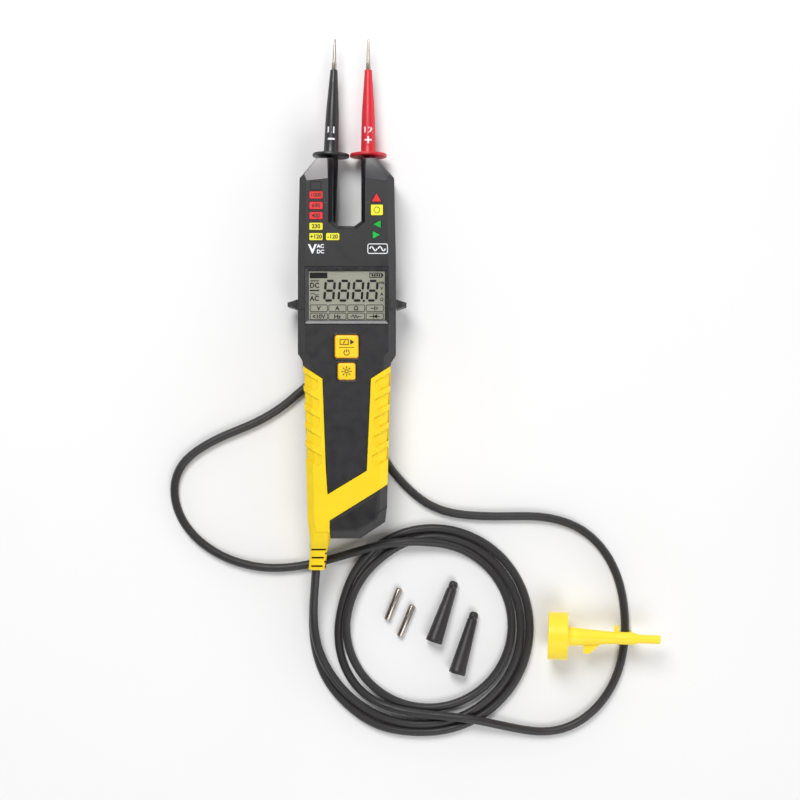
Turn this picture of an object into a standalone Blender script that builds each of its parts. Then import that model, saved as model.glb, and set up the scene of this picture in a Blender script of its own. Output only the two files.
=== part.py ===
"""Two-pole voltage and current tester with a hand probe on a cord, lying on its back on a table.

The script works in millimetres and writes metres. +Z points out of the display, +Y towards the probe
tips, and +X to the right. The origin lies on the rest face, behind the middle of the instrument.
"""

import math

import bmesh
import bpy
from mathutils import Matrix, Vector

MM = 0.001
GAP = 0.3  # left between pieces that touch

# Body
FACE_Z = 32.0
CHAMFER_Z = 27.5
SEAM_Z = 22.35
CHAMFER = 4.3
SLOT_EDGE = 2.3
TOP_EDGE = 1.4
WALL = 2.4
GRIP_BACK_Z = 10.5
GRIP_SKIN = 2.2
HEAD_HALF = 28.6
SHOULDER_HALF = 27.6
SHOULDER_Y = 99.0
TOP_Y = 110.7
TOP_HALF = 17.6
REAR_TOP_Y = 111.6
REAR_TOP_HALF = 16.8
SLOT_HALF = 8.4
SLOT_Y = 71.0
BOTTOM_Y = -111.3
FIN_Y = 25.3
FIN_REACH = 34.8

# Display and controls
LENS = (-23.6, 23.6, 14.5, 46.0)
WINDOW = (7.8, 4.2)
WINDOW_ROWS = (88.6, 82.5, 76.6, 70.4, 64.4)
WINDOW_X = -17.8
MODE_KEY = (0.0, 0.5, 14.5, 13.9)
LIGHT_KEY = (0.0, -13.7, 11.1, 10.3)
KEY_TOP_Z = 33.5
ROOF_Z = FACE_Z - WALL

# Probes
PROBE_Z = 11.1
GUARD_R = 10.9
GUARD_Y = 113.4
GUARD_T = 2.2
CONE_END = 52.0
PIN_END = 69.5
PIN_R = 1.1
RED_X = 12.2
BLACK_X = -10.0
BLACK_LEAN = math.radians(2.0)
HANDLE_R = 5.5
NECK_R = 4.5
HANDLE_END = -128.0
BOOT_END = -150.3

# Cells
CELL_R = 5.25
CELL_X = (1.5, 13.0)
CELL_Z = 20.5
CELL_Y = (-95.5, -51.0)

# Cord
CORD_R = 2.5
CORD_STEP = 14.0
COIL_X, COIL_Y = 48.1, -165.2
COIL_IN, COIL_OUT, COIL_H = 47.3, 63.5, 5.2
STRAIN_X, STRAIN_Y, STRAIN_Z = -18.5, -130.5, 17.0


# ---------------------------------------------------------------- helpers

def clear_scene():
    for thing in list(bpy.data.objects):
        bpy.data.objects.remove(thing, do_unlink=True)


def material(name, color, roughness, metallic=0.0):
    found = bpy.data.materials.get(name)
    if found:
        return found
    made = bpy.data.materials.new(name)
    made.use_nodes = True
    shader = made.node_tree.nodes["Principled BSDF"]
    shader.inputs["Base Color"].default_value = (*color, 1.0)
    shader.inputs["Roughness"].default_value = roughness
    shader.inputs["Metallic"].default_value = metallic
    return made


def black():
    return material("black_plastic", (0.030, 0.028, 0.032), 0.5)


def yellow():
    return material("yellow_rubber", (0.93, 0.66, 0.01), 0.55)


def key_yellow():
    return material("key_yellow", (0.95, 0.62, 0.02), 0.45)


def red():
    return material("red_plastic", (0.62, 0.02, 0.04), 0.4)


def metal():
    return material("nickel", (0.62, 0.58, 0.52), 0.3, 1.0)


def circuit():
    return material("circuit_green", (0.02, 0.16, 0.06), 0.5)


def cord_rubber():
    return material("cord_rubber", (0.035, 0.033, 0.035), 0.55)


def cap_yellow():
    return material("cap_yellow", (0.95, 0.78, 0.08), 0.5)


def glass():
    return material("clear_window", (0.55, 0.58, 0.52), 0.1)


def put(name, bm, look, cutter=False):
    """An object from a bmesh in millimetres."""
    bmesh.ops.recalc_face_normals(bm, faces=bm.faces)
    bmesh.ops.scale(bm, vec=(MM, MM, MM), verts=bm.verts)
    mesh = bpy.data.meshes.new(name)
    bm.to_mesh(mesh)
    bm.free()
    made = bpy.data.objects.new(name, mesh)
    bpy.context.collection.objects.link(made)
    if cutter:
        made.hide_render = True
        made.display_type = "WIRE"
    else:
        mesh.materials.append(look)
        mesh.shade_smooth()
        mesh.set_sharp_from_angle(angle=math.radians(35))
    return made


def combine(target, tool, operation):
    step = target.modifiers.new(operation.lower(), "BOOLEAN")
    step.operation = operation
    step.solver = "EXACT"
    step.object = tool


def cut(target, *tools):
    for tool in tools:
        combine(target, tool, "DIFFERENCE")


def loft(levels):
    """A closed solid through outlines of equal length, each given as (z, points)."""
    bm = bmesh.new()
    add_loft(bm, levels)
    return bm


def add_loft(bm, levels):
    rings = [[bm.verts.new((x, y, z)) for x, y in outline] for z, outline in levels]
    for low, high in zip(rings, rings[1:]):
        for i, corner in enumerate(low):
            j = (i + 1) % len(low)
            bm.faces.new((corner, low[j], high[j], high[i]))
    bm.faces.new(list(reversed(rings[0])))
    bm.faces.new(rings[-1])


def rectangle(x0, x1, y0, y1):
    return [(x0, y0), (x1, y0), (x1, y1), (x0, y1)]


def rounded(x, y, width, height, radius, steps=4):
    """A rectangle with round corners about (x, y), anticlockwise."""
    points = []
    for sx, sy, start in ((1, 1, 0), (-1, 1, 90), (-1, -1, 180), (1, -1, 270)):
        cx = x + sx * (width / 2 - radius)
        cy = y + sy * (height / 2 - radius)
        for i in range(steps + 1):
            angle = math.radians(start + 90 * i / steps)
            points.append((cx + radius * math.cos(angle), cy + radius * math.sin(angle)))
    return points


def inset(outline, distances):
    """The outline with each edge, from point i to i + 1, moved inwards by its own distance."""
    lines = []
    for i, start in enumerate(outline):
        end = Vector(outline[(i + 1) % len(outline)])
        along = (end - Vector(start)).normalized()
        inward = Vector((-along.y, along.x))
        lines.append((Vector(start) + inward * distances[i], along))
    points = []
    for i, (q, v) in enumerate(lines):
        p, u = lines[i - 1]
        cross = u.x * v.y - u.y * v.x
        if abs(cross) < 1e-6:
            points.append((q.x, q.y))
            continue
        reach = ((q - p).x * v.y - (q - p).y * v.x) / cross
        points.append(tuple(p + u * reach))
    return points


def add_box(bm, x0, x1, y0, y1, z0, z1):
    add_loft(bm, [(z0, rectangle(x0, x1, y0, y1)), (z1, rectangle(x0, x1, y0, y1))])


def box(*limits):
    bm = bmesh.new()
    add_box(bm, *limits)
    return bm


def turned(profile, sides=20, hollow=False):
    """Turned about +Y from (y, radius) points. A hollow profile closes back on its first point."""
    bm = bmesh.new()
    rings = []
    for y, radius in profile:
        if radius == 0:
            rings.append([bm.verts.new((0, y, 0))] * sides)
            continue
        angles = [2 * math.pi * i / sides for i in range(sides)]
        rings.append([bm.verts.new((radius * math.cos(a), y, radius * math.sin(a))) for a in angles])
    pairs = list(zip(rings, rings[1:]))
    if hollow:
        pairs.append((rings[-1], rings[0]))
    for low, high in pairs:
        for i in range(sides):
            j = (i + 1) % sides
            corners = []
            for corner in (low[i], low[j], high[j], high[i]):
                if corner not in corners:
                    corners.append(corner)
            if len(corners) > 2:
                bm.faces.new(corners)
    return bm


def aim(bm, origin, direction):
    """Moves a turned bmesh so that its +Y axis runs from origin along direction."""
    turn = Vector(direction).normalized().to_track_quat("Y", "Z").to_matrix().to_4x4()
    bmesh.ops.transform(bm, matrix=Matrix.Translation(origin) @ turn, verts=bm.verts)
    return bm


def set_origin(thing, x, y, z):
    """Puts the object's origin on its joint's axis and leaves its mesh where it is."""
    thing.data.transform(Matrix.Translation((-x * MM, -y * MM, -z * MM)))
    thing.location = (x * MM, y * MM, z * MM)


# ---------------------------------------------------------------- body outlines

def body_outline():
    """The silhouette from the front, anticlockwise from the bottom left. Edges 11 to 15 are the slot."""
    right = [(22.3, -101.7), (23.4, -93.2), (24.3, -53.7), (25.6, -10.7), (26.0, -6.7)]
    right += [(HEAD_HALF, -3.8), (HEAD_HALF, 50), (SHOULDER_HALF, SHOULDER_Y), (TOP_HALF, TOP_Y)]
    slot = [(SLOT_HALF, TOP_Y), (SLOT_HALF, SLOT_Y + 3), (4.5, SLOT_Y)]
    half = right + slot
    left = [(-x, y) for x, y in reversed(half[2:])]
    return [(-21.6, BOTTOM_Y), (8.0, BOTTOM_Y)] + half + left + [(-22.9, -100.2)]


def body_insets(side, slot, top):
    count = len(body_outline())
    special = {i: slot for i in range(11, 16)}
    for i in (9, 10, 16, 17):
        special[i] = top
    return [special.get(i, side) for i in range(count)]


def head_outline():
    """The rear half of the head, whose prongs end below the guard discs. Edges 5 to 9 are the slot."""
    half = [(26.0, -8.0), (HEAD_HALF, -3.8), (HEAD_HALF, 50), (SHOULDER_HALF, SHOULDER_Y)]
    half += [(REAR_TOP_HALF, REAR_TOP_Y), (SLOT_HALF, REAR_TOP_Y), (SLOT_HALF, SLOT_Y + 3), (4.5, SLOT_Y)]
    return half + [(-x, y) for x, y in reversed(half)]


def grip_outline():
    """The rear half of the grip."""
    right = [(22.3, -101.7), (23.4, -93.2), (24.3, -53.7), (25.6, -10.7), (25.8, -5.0)]
    left = [(-25.8, -5.0), (-25.6, -10.7), (-24.3, -53.7), (-22.9, -100.2)]
    return [(-21.6, BOTTOM_Y), (8.0, BOTTOM_Y)] + right + left


def front_loft(shrink=0.0, low=SEAM_Z + 0.15):
    outline = body_outline()
    full = inset(outline, body_insets(shrink, shrink, shrink))
    top = inset(outline, body_insets(CHAMFER + shrink, SLOT_EDGE + shrink, TOP_EDGE + shrink))
    return loft([(low, full), (CHAMFER_Z, full), (FACE_Z - shrink, top)])


def grip_loft(shrink=0.0, high=SEAM_Z - 0.15):
    outline = grip_outline()
    bottom = inset(outline, [4.0 + shrink] * len(outline))
    full = inset(outline, [shrink] * len(outline))
    return loft([(GRIP_BACK_Z + shrink, bottom), (15.0, full), (high, full)])


def head_loft():
    outline = head_outline()
    back = [0.5 if 5 <= i < 10 else 3.0 for i in range(len(outline))]
    full = [0.0] * len(outline)
    wall = inset(outline, full)
    return loft([(0.0, inset(outline, back)), (4.0, wall), (SEAM_Z - 0.15, wall)])


# ---------------------------------------------------------------- regions and cutters

COVER_SLOPE = (100.5 - 79.4) / (24.2 + 9.8)


def cover_line(x, drop=0.0):
    """The slanted lower edge of the yellow band, where the battery cover begins."""
    return -100.5 + (x + 9.8) * COVER_SLOPE - drop


def yellow_region(grow=0.0):
    """The grip as seen from the front: two rails joined by a slanted band."""
    points = [(-34, -5.3), (-14.1, -18.1), (-12.1, -71), (-11.1, -85.4), (11.7, -71.6), (14.1, -18.1)]
    points += [(34, -5.3), (34, cover_line(34)), (-9.8, -100.5), (-9.8, -114), (-34, -114)]
    points.reverse()
    return inset(points, [-grow] * len(points))


def cover_region(x_wall=-9.5, drop=GAP):
    return [(x_wall, -118), (34, -118), (34, cover_line(34, drop)), (x_wall, cover_line(x_wall, drop))]


def cut_prism(name, outline, z0, z1):
    return put(name, loft([(z0, outline), (z1, outline)]), None, cutter=True)


def core_loft(name, shrink):
    """The lower body inside the grip, as a cutter."""
    front = put(name + "_front", front_loft(shrink, low=SEAM_Z - 2.0), None, cutter=True)
    rear = put(name + "_rear", grip_loft(shrink, high=SEAM_Z + 0.5), None, cutter=True)
    combine(front, rear, "UNION")
    return front


def end_body(name):
    """The whole thickness of the lower body, as one solid."""
    front = put(name, front_loft(0.0, low=SEAM_Z - 1.0), black())
    rear = put(name + "_rear_half", grip_loft(0.0, high=SEAM_Z - 0.5), None, cutter=True)
    combine(front, rear, "UNION")
    return front


def probe_frame(t, side=0.0, z=0.0):
    """A point at t along the hand probe's axis, measured from its guard disc."""
    x = BLACK_X + t * math.sin(BLACK_LEAN) + side * math.cos(BLACK_LEAN)
    y = GUARD_Y + t * math.cos(BLACK_LEAN) - side * math.sin(BLACK_LEAN)
    return (x, y, PROBE_Z + z)


PROBE_AXIS = (math.sin(BLACK_LEAN), math.cos(BLACK_LEAN), 0.0)


def along_probe(t0, t1, half, z0, z1):
    """A box that runs along the hand probe's axis."""
    corners = [probe_frame(t0, -half), probe_frame(t0, half), probe_frame(t1, half), probe_frame(t1, -half)]
    outline = [corner[:2] for corner in corners]
    return loft([(z0, outline), (z1, outline)])


SCREWS = [(-22.6, 98.0), (22.6, 98.0), (-23.4, 5.0), (23.4, 5.0)]


# ---------------------------------------------------------------- housing

def make_grip_parts():
    shell_core = core_loft("shell_core", GRIP_SKIN + GAP)
    groove = cut_prism("grip_recess", yellow_region(GAP), 13.0, 40.0)
    combine(groove, shell_core, "DIFFERENCE")
    grip_core = core_loft("grip_core", GRIP_SKIN)
    grip = end_body("grip_overmould")
    grip.data.materials.clear()
    grip.data.materials.append(yellow())
    region = cut_prism("grip_region", yellow_region(), 13.3, 40.0)
    combine(grip, region, "INTERSECT")
    cut(grip, grip_core)
    return groove


def front_openings():
    """Every hole through the front face, as one cutter."""
    bm = bmesh.new()
    x0, x1, y0, y1 = LENS
    rim = 0.3
    add_loft(bm, [
        (30.2, rectangle(x0 - rim, x1 + rim, y0 - rim, y1 + rim)),
        (31.0, rectangle(x0 - rim, x1 + rim, y0 - rim, y1 + rim)),
        (33.0, rectangle(x0 - rim - 1.6, x1 + rim + 1.6, y0 - rim - 1.6, y1 + rim + 1.6)),
    ])
    view = bmesh.new()
    add_box(view, x0 + 1.3, x1 - 1.3, y0 + 1.3, y1 - 1.3, 20.0, 31.0)
    holes = bmesh.new()
    for outline in window_outlines(GAP).values():
        add_loft(holes, [(20.0, outline), (34.0, outline)])
    for x, y, width, height in (MODE_KEY, LIGHT_KEY):
        outline = rounded(x, y, width + 2 * GAP, height + 2 * GAP, 1.9)
        add_loft(holes, [(20.0, outline), (34.0, outline)])
    return [put("lens_seat", bm, None, True), put("lens_view", view, None, True),
            put("face_holes", holes, None, True)]


def window_outlines(grow=0.0):
    """The indicator windows by name: a column on the left, four shapes on the right."""
    width, height = WINDOW[0] + 2 * grow, WINDOW[1] + 2 * grow
    shapes = {}
    for i, y in enumerate(WINDOW_ROWS):
        shapes[f"left_{i}"] = rounded(WINDOW_X, y, width, height, 0.6, 2)
    shapes["left_5"] = rounded(-8.1, WINDOW_ROWS[-1], width, height, 0.6, 2)
    shapes["right_0"] = triangle(17.3, 87.2, 5.4 + 3 * grow, 4.9 + 3 * grow, 90)
    shapes["right_1"] = rounded(17.6, 79.9, 7.0 + 2 * grow, 6.2 + 2 * grow, 0.6, 2)
    shapes["right_2"] = triangle(17.6, 71.6, 4.6 + 3 * grow, 4.4 + 3 * grow, 180)
    shapes["right_3"] = triangle(17.3, 65.4, 4.6 + 3 * grow, 4.4 + 3 * grow, 0)
    return shapes


def triangle(x, y, width, height, heading):
    """A triangle about (x, y) whose tip points along heading, in degrees."""
    turn = Matrix.Rotation(math.radians(heading), 2)
    corners = [(height / 2, 0), (-height / 2, width / 2), (-height / 2, -width / 2)]
    return [tuple(Vector((x, y)) + turn @ Vector(corner)) for corner in corners]


def make_front_shell(groove):
    shell = put("front_shell", front_loft(), black())
    head = inset(body_outline(), body_insets(WALL, WALL, WALL))
    hollow = [p for p in head if p[1] > -3.0]
    hollow = [(24.5, -3.5)] + hollow + [(-24.5, -3.5)]
    tray = cut_prism("front_tray", hollow, 20.0, ROOF_Z)
    lower = [(-15.0, -50.0), (-9.0, -70.0), (9.0, -60.0), (15.0, -50.0), (19.5, -3.0), (-19.5, -3.0)]
    lower_tray = cut_prism("front_lower_tray", lower, 20.0, ROOF_Z)
    bay = put("front_bay", box(-5.0, 19.2, -125.0, -49.9, 20.0, 27.0), None, True)
    lost = cut_prism("front_lost", cover_region(-9.8, 0.0), 10.0, 40.0)
    bosses = bmesh.new()
    for x, y in SCREWS:
        boss = rounded(x, y, 6.0, 6.0, 2.9)
        add_loft(bosses, [(SEAM_Z + 0.15, boss), (30.0, boss)])
    posts = put("screw_posts", bosses, None, True)
    within = put("post_limit", front_loft(0.6), None, True)
    combine(posts, within, "INTERSECT")
    threads = bmesh.new()
    for x, y in SCREWS:
        outline = rounded(x, y, 2.8, 2.8, 1.39)
        add_loft(threads, [(20.0, outline), (28.5, outline)])
    cut(shell, tray, lower_tray, bay)
    combine(shell, posts, "UNION")
    cut(shell, groove, lost, put("screw_threads", threads, None, True), *front_openings())
    return shell


def make_rear_shell(groove):
    shell = put("rear_shell", head_loft(), black())
    grip = put("rear_grip", grip_loft(), None, True)
    foot_outline = [(-8, -95), (16, -81.5), (16, -76), (-8, -76)]
    foot_base = inset(foot_outline, [1.2] * 4)
    foot = put("rear_foot", loft([(0.0, foot_base), (1.2, foot_outline), (13.0, foot_outline)]), None, True)
    combine(shell, grip, "UNION")
    combine(shell, foot, "UNION")
    wide = put("probe_channel", along_probe(-131.0, -47.0, HANDLE_R + 0.8, -2.0, 17.6), None, True)
    narrow = put("neck_channel", along_probe(-48.0, 6.0, NECK_R + 0.7, -2.0, 16.3), None, True)
    boot = put("boot_channel", along_probe(-156.0, -130.0, 5.1, -2.0, 16.6), None, True)
    tail = put("tail_channel", along_probe(-178.0, -155.0, 3.6, -2.0, 15.0), None, True)
    red_bore = put("red_stem_bore", aim(turned([(-30.5, 0), (-30.5, 2.9), (3, 2.9), (3, 0)], 16),
                                        (RED_X, GUARD_Y, PROBE_Z), (0, 1, 0)), None, True)
    deep = bmesh.new()
    add_box(deep, -1.5, 25.4, 11.0, 66.0, 3.0, 30.0)
    shallow = bmesh.new()
    outline = [(15, -50.0), (17.5, 0.0), (19.6, 10.0), (25.4, 12.0), (25.4, 66.0)]
    outline += [(-25.4, 66.0), (-25.4, 12.0), (-19.6, 10.0), (-17.5, 0.0), (-15, -50.0)]
    add_loft(shallow, [(19.4, outline), (30.0, outline)])
    bay = box(-5.0, 19.2, -125.0, -49.9, 14.0, 30.0)
    lost = cut_prism("rear_lost", cover_region(-9.8, 0.0), 5.0, 40.0)
    holes = bmesh.new()
    for x, y in SCREWS:
        wide_hole, small_hole = rounded(x, y, 5.2, 5.2, 2.59), rounded(x, y, 2.8, 2.8, 1.39)
        add_loft(holes, [(-2.0, wide_hole), (8.0, wide_hole), (8.0001, small_hole), (30.0, small_hole)])
    lock = aim(turned([(-2, 0), (-2, 1.6), (12, 1.6), (12, 0)], 12), (-7.0, -101.0, 17.0), (0, 1, 0))
    cut(shell, groove, lost, wide, narrow, boot, tail, red_bore, put("rear_deep", deep, None, True),
        put("rear_shallow", shallow, None, True), put("rear_bay", bay, None, True),
        put("rear_screw_holes", holes, None, True), put("lock_hole", lock, None, True))
    return shell


def make_battery_cover():
    cover = end_body("battery_cover")
    region = cut_prism("cover_limit", cover_region(), 5.0, 40.0)
    combine(cover, region, "INTERSECT")
    bay = [(-4.6, -108.6), (7.4, -108.6), (18.9, -100.2), (19.2, -60.0), (-4.6, -60.0)]
    bore = aim(turned([(-2, 0), (-2, 2.6), (2.6, 2.6), (2.6, 1.6), (20, 1.6), (20, 0)], 16),
               (-7.0, BOTTOM_Y, 17.0), (0, 1, 0))
    cut(cover, cut_prism("cover_bay", bay, 14.0, 27.0), put("cover_bore", bore, None, True))
    screw = [(0.4, 0), (0.4, 2.3), (2.2, 2.3), (2.2, 1.25), (17.0, 1.25), (18.0, 0.6), (18.0, 0)]
    made = put("cover_screw", aim(turned(screw, 16), (-7.0, BOTTOM_Y, 17.0), (0, 1, 0)), metal())
    drive = put("cover_screw_drive", box(-9.0, -5.0, BOTTOM_Y - 1.0, BOTTOM_Y + 0.9, 16.6, 17.4), None, True)
    cut(made, drive)


def make_case_screws():
    profile = [(4.7, 0), (4.7, 2.3), (7.7, 2.3), (7.7, 1.1), (26.0, 1.1), (27.0, 0.5), (27.0, 0)]
    for i, (x, y) in enumerate(SCREWS, 1):
        put(f"case_screw_{i}", aim(turned(profile, 12), (x, y, 0.0), (0, 0, 1)), metal())


def make_finger_guards():
    for name, side in (("finger_guard_right", 1), ("finger_guard_left", -1)):
        inner, outer = HEAD_HALF + GAP, HEAD_HALF + 1.2
        section = [(inner, 6.0), (outer, 6.5), (outer, 27.9), (25.4, 32.7), (24.3, 32.7), (24.3, 32.5)]
        section += [(24.4, 32.35), (inner, 27.65)]
        bm = bmesh.new()
        rings = []
        for y in (FIN_Y - 2.7, FIN_Y + 2.7):
            rings.append([bm.verts.new((side * x, y, z)) for x, z in section])
        for i in range(len(section)):
            j = (i + 1) % len(section)
            bm.faces.new((rings[0][i], rings[0][j], rings[1][j], rings[1][i]))
        bm.faces.new(rings[0])
        bm.faces.new(rings[1])
        guard = put(name, bm, black())
        root = HEAD_HALF + 0.6
        plan = [(root, FIN_Y - 2.7), (FIN_REACH, FIN_Y - 1.2), (FIN_REACH, FIN_Y + 1.2), (root, FIN_Y + 2.7)]
        plan = [(side * x, y) for x, y in plan]
        tip = [(side * x, y) for x, y in [(root, FIN_Y - 2.7), (FIN_REACH - 2.5, FIN_Y - 1.7),
                                          (FIN_REACH - 2.5, FIN_Y + 1.7), (root, FIN_Y + 2.7)]]
        fin = put(name + "_fin", loft([(7.0, tip), (10.0, plan), (25.0, plan), (28.0, tip)]), None, True)
        combine(guard, fin, "UNION")


# ---------------------------------------------------------------- controls and display

def make_keys():
    for name, (x, y, width, height) in (("mode_button", MODE_KEY), ("light_button", LIGHT_KEY)):
        crown = rounded(x, y, width - 1.6, height - 1.6, 1.2)
        body = rounded(x, y, width, height, 1.7)
        flange = rounded(x, y, width + 2.0, height + 1.6, 2.2)
        bm = loft([(27.9, flange), (29.2, flange), (29.2001, body), (32.9, body), (KEY_TOP_Z, crown)])
        key = put(name, bm, key_yellow())
        set_origin(key, x, y, 28.0)


def make_display():
    x0, x1, y0, y1 = LENS
    put("lcd_window", box(x0, x1, y0, y1, 30.5, 31.5), glass())
    put("lcd_panel", box(x0 + 1.6, x1 - 1.6, y0 + 1.6, y1 - 1.6, 27.6, 29.3),
        material("lcd_glass", (0.40, 0.41, 0.32), 0.25))
    put("lcd_backlight", box(x0 + 1.6, x1 - 1.6, y0 + 1.6, y1 - 1.6, 25.2, 27.3),
        material("backlight_white", (0.8, 0.8, 0.75), 0.5))
    put("lcd_connector", box(-20.0, 20.0, y1 - 1.3, y1 + 0.4, 22.8, 29.0),
        material("connector_grey", (0.35, 0.35, 0.37), 0.6))


def make_indicator_lenses():
    shapes = window_outlines()
    left_plate = [(-22.6, 61.4), (-3.4, 61.4), (-3.4, 67.4), (-13.0, 67.4), (-13.0, 92.0), (-22.6, 92.0)]
    right_plate = [(13.2, 61.8), (22.2, 61.8), (22.2, 91.2), (13.2, 91.2)]
    for side, plate in (("left", left_plate), ("right", right_plate)):
        lens = put(f"indicator_lens_{side}", loft([(28.2, plate), (29.3, plate)]), glass())
        pads = bmesh.new()
        for name, outline in shapes.items():
            if name.startswith(side):
                add_loft(pads, [(28.8, outline), (FACE_Z + 0.1, outline)])
        combine(lens, put(f"indicator_pads_{side}", pads, None, True), "UNION")


def make_electronics():
    board = [(-14.0, -47.0), (14.0, -47.0), (16.8, -1.0), (18.5, 11.0), (24.0, 13.0), (24.0, 64.0)]
    board += [(-24.0, 64.0), (-24.0, 13.0), (-18.5, 11.0), (-16.8, -1.0)]
    put("main_circuit_board", loft([(20.0, board), (21.6, board)]), circuit())
    sheet = rounded(0, -6.0, 20.0, 34.0, 2.0)
    grey = material("membrane_grey", (0.25, 0.25, 0.26), 0.7)
    put("keypad_membrane", loft([(25.4, sheet), (26.5, sheet)]), grey)
    for name, (x, y, _, _) in (("mode_switch", MODE_KEY), ("light_switch", LIGHT_KEY)):
        switch = put(name, box(x - 3, x + 3, y - 3, y + 3, 21.9, 24.2), metal())
        plunger = rounded(x, y, 3.4, 3.4, 1.6)
        stem = loft([(24.0, plunger), (25.1, plunger)])
        combine(switch, put(name + "_stem", stem, None, True), "UNION")
    buzzer = turned([(0, 0), (0, 6.5), (5.0, 6.5), (5.0, 1.2), (4.0, 1.2), (4.0, 0)], 24)
    put("buzzer", aim(buzzer, (14.0, 30.0, 13.0), (0, 0, 1)), black())
    core = [(-15.6, 58.8), (15.6, 58.8), (15.6, 105.0), (12.6, 105.0), (12.6, 62.0), (-12.6, 62.0)]
    core += [(-12.6, 105.0), (-15.6, 105.0)]
    put("jaw_core", loft([(24.2, core), (27.0, core)]), material("core_steel", (0.3, 0.3, 0.32), 0.4, 1.0))
    for name, side in (("sense_coil_right", 1), ("sense_coil_left", -1)):
        limits = sorted((side * 11.2, side * 17.0))
        copper = material("copper", (0.72, 0.35, 0.16), 0.35, 1.0)
        coil = put(name, box(*limits, 80.0, 98.0, 22.9, 28.0), copper)
        inner = sorted((side * 12.3, side * 15.9))
        cut(coil, put(name + "_hole", box(*inner, 79.0, 99.0, 23.9, 27.3), None, True))


def make_cells():
    low, high = CELL_Y
    length = high - low
    profile = [(0, 0), (0, 4.4), (0.4, 5.0), (1.2, CELL_R), (length - 2.0, CELL_R), (length - 1.3, 4.9),
               (length - 1.2, 1.9), (length, 1.8), (length, 0)]
    jacket = material("cell_jacket", (0.12, 0.14, 0.2), 0.35, 0.3)
    for i, x in enumerate(CELL_X, 1):
        heading = 1 if i == 1 else -1
        start = low if i == 1 else high
        put(f"cell_{i}", aim(turned(profile, 20), (x, start, CELL_Z), (0, heading, 0)), jacket)
        put(f"cell_contact_{i}", box(x - 4.0, x + 4.0, high + 0.3, high + 0.7, 17.0, 24.0), metal())
        make_spring(f"cell_spring_{i}", x, low - GAP)
    x0, x1 = CELL_X
    put("cell_bridge", box(x0 - 3.5, x1 + 3.5, low - 5.6, low - 5.1, 17.0, 24.0), metal())


def make_spring(name, x, top_y):
    """A short conical coil spring between the bridge and a cell."""
    turns, per_turn, wire = 2.0, 10, 0.35
    curve = bpy.data.curves.new(name, "CURVE")
    curve.dimensions = "3D"
    curve.bevel_depth = wire * MM
    curve.bevel_resolution = 1
    curve.use_fill_caps = True
    spline = curve.splines.new("POLY")
    count = int(turns * per_turn) + 1
    spline.points.add(count - 1)
    for i in range(count):
        share = i / (count - 1)
        angle = 2 * math.pi * turns * share
        radius = 3.6 - 1.6 * share
        y = top_y - 4.4 + (4.4 - wire) * share
        spot = (x + radius * math.cos(angle), y, CELL_Z + radius * math.sin(angle))
        spline.points[i].co = (*(value * MM for value in spot), 1)
    curve.materials.append(metal())
    made = bpy.data.objects.new(name, curve)
    bpy.context.collection.objects.link(made)


# ---------------------------------------------------------------- probes

def pin_profile(base, collar):
    """A test pin with a collar, from its foot inside the cone to its blunt point."""
    return [(base, 0), (base, PIN_R), (CONE_END + GAP, PIN_R), (CONE_END + GAP, collar),
            (CONE_END + 4.3, collar), (CONE_END + 4.6, PIN_R), (PIN_END - 7.0, 0.85),
            (PIN_END, 0.35), (PIN_END, 0)]


def cone_profile():
    return [(0, GUARD_R - 0.5), (0.5, GUARD_R), (GUARD_T - 0.5, GUARD_R), (GUARD_T, GUARD_R - 0.5),
            (GUARD_T, 5.1), (3.2, 4.4), (16.0, 4.15), (27.0, 3.8), (33.0, 3.45), (CONE_END - 0.5, 2.15),
            (CONE_END, 1.85),
            (CONE_END, PIN_R + 0.25), (CONE_END - 14.0, PIN_R + 0.25), (CONE_END - 14.0, 0)]


def make_red_probe():
    origin = (RED_X, GUARD_Y, PROBE_Z)
    profile = [(-30.0, 0), (-30.0, 2.2), (-29.6, 2.6), (0, 2.6)] + cone_profile()
    put("red_probe_body", aim(turned(profile, 28), origin, (0, 1, 0)), red())
    put("red_probe_pin", aim(turned(pin_profile(CONE_END - 13.5, 1.3), 12), origin, (0, 1, 0)), metal())


def make_black_probe():
    origin = probe_frame(0)
    handle = [(HANDLE_END, 0), (HANDLE_END, HANDLE_R - 0.8), (HANDLE_END + 0.8, HANDLE_R)]
    handle += [(-70.0, HANDLE_R), (-64.0, NECK_R), (0, NECK_R)]
    body = turned(handle + cone_profile(), 28)
    put("black_probe_body", aim(body, origin, PROBE_AXIS), black())
    pin = turned(pin_profile(CONE_END - 13.5, 1.3), 12)
    put("black_probe_pin", aim(pin, origin, PROBE_AXIS), metal())
    bore = CORD_R + 0.35
    foot = HANDLE_END - GAP
    boot = [(foot, bore), (foot, HANDLE_R - 0.9), (foot - 4.0, HANDLE_R - 0.9)]
    for ring in range(4):
        top = foot - 5.0 - ring * 4.0
        outer = 4.3 - ring * 0.2
        boot += [(top, outer - 0.7), (top - 1.2, outer - 0.7), (top - 1.8, outer), (top - 3.2, outer)]
    boot += [(BOOT_END, 3.5), (BOOT_END, bore)]
    put("black_probe_boot", aim(turned(boot, 20, hollow=True), origin, PROBE_AXIS), cord_rubber())
    make_probe_clip()


def make_probe_clip():
    """A spring clip in the channel's roof that grips the handle over most of a circle."""
    inner, outer = HANDLE_R + 0.25, HANDLE_R + 0.7
    arc = [math.radians(a) for a in range(-30, 211, 20)]
    section = [(outer * math.cos(a), outer * math.sin(a)) for a in arc]
    section += [(inner * math.cos(a), inner * math.sin(a)) for a in reversed(arc)]
    bm = bmesh.new()
    rings = []
    for t in (-92.0, -82.0):
        rings.append([bm.verts.new(probe_frame(t, side, z)) for side, z in section])
    count = len(section)
    for i in range(count):
        j = (i + 1) % count
        bm.faces.new((rings[0][i], rings[0][j], rings[1][j], rings[1][i]))
    bm.faces.new(rings[0])
    bm.faces.new(rings[1])
    put("probe_clip", bm, metal())


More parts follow.
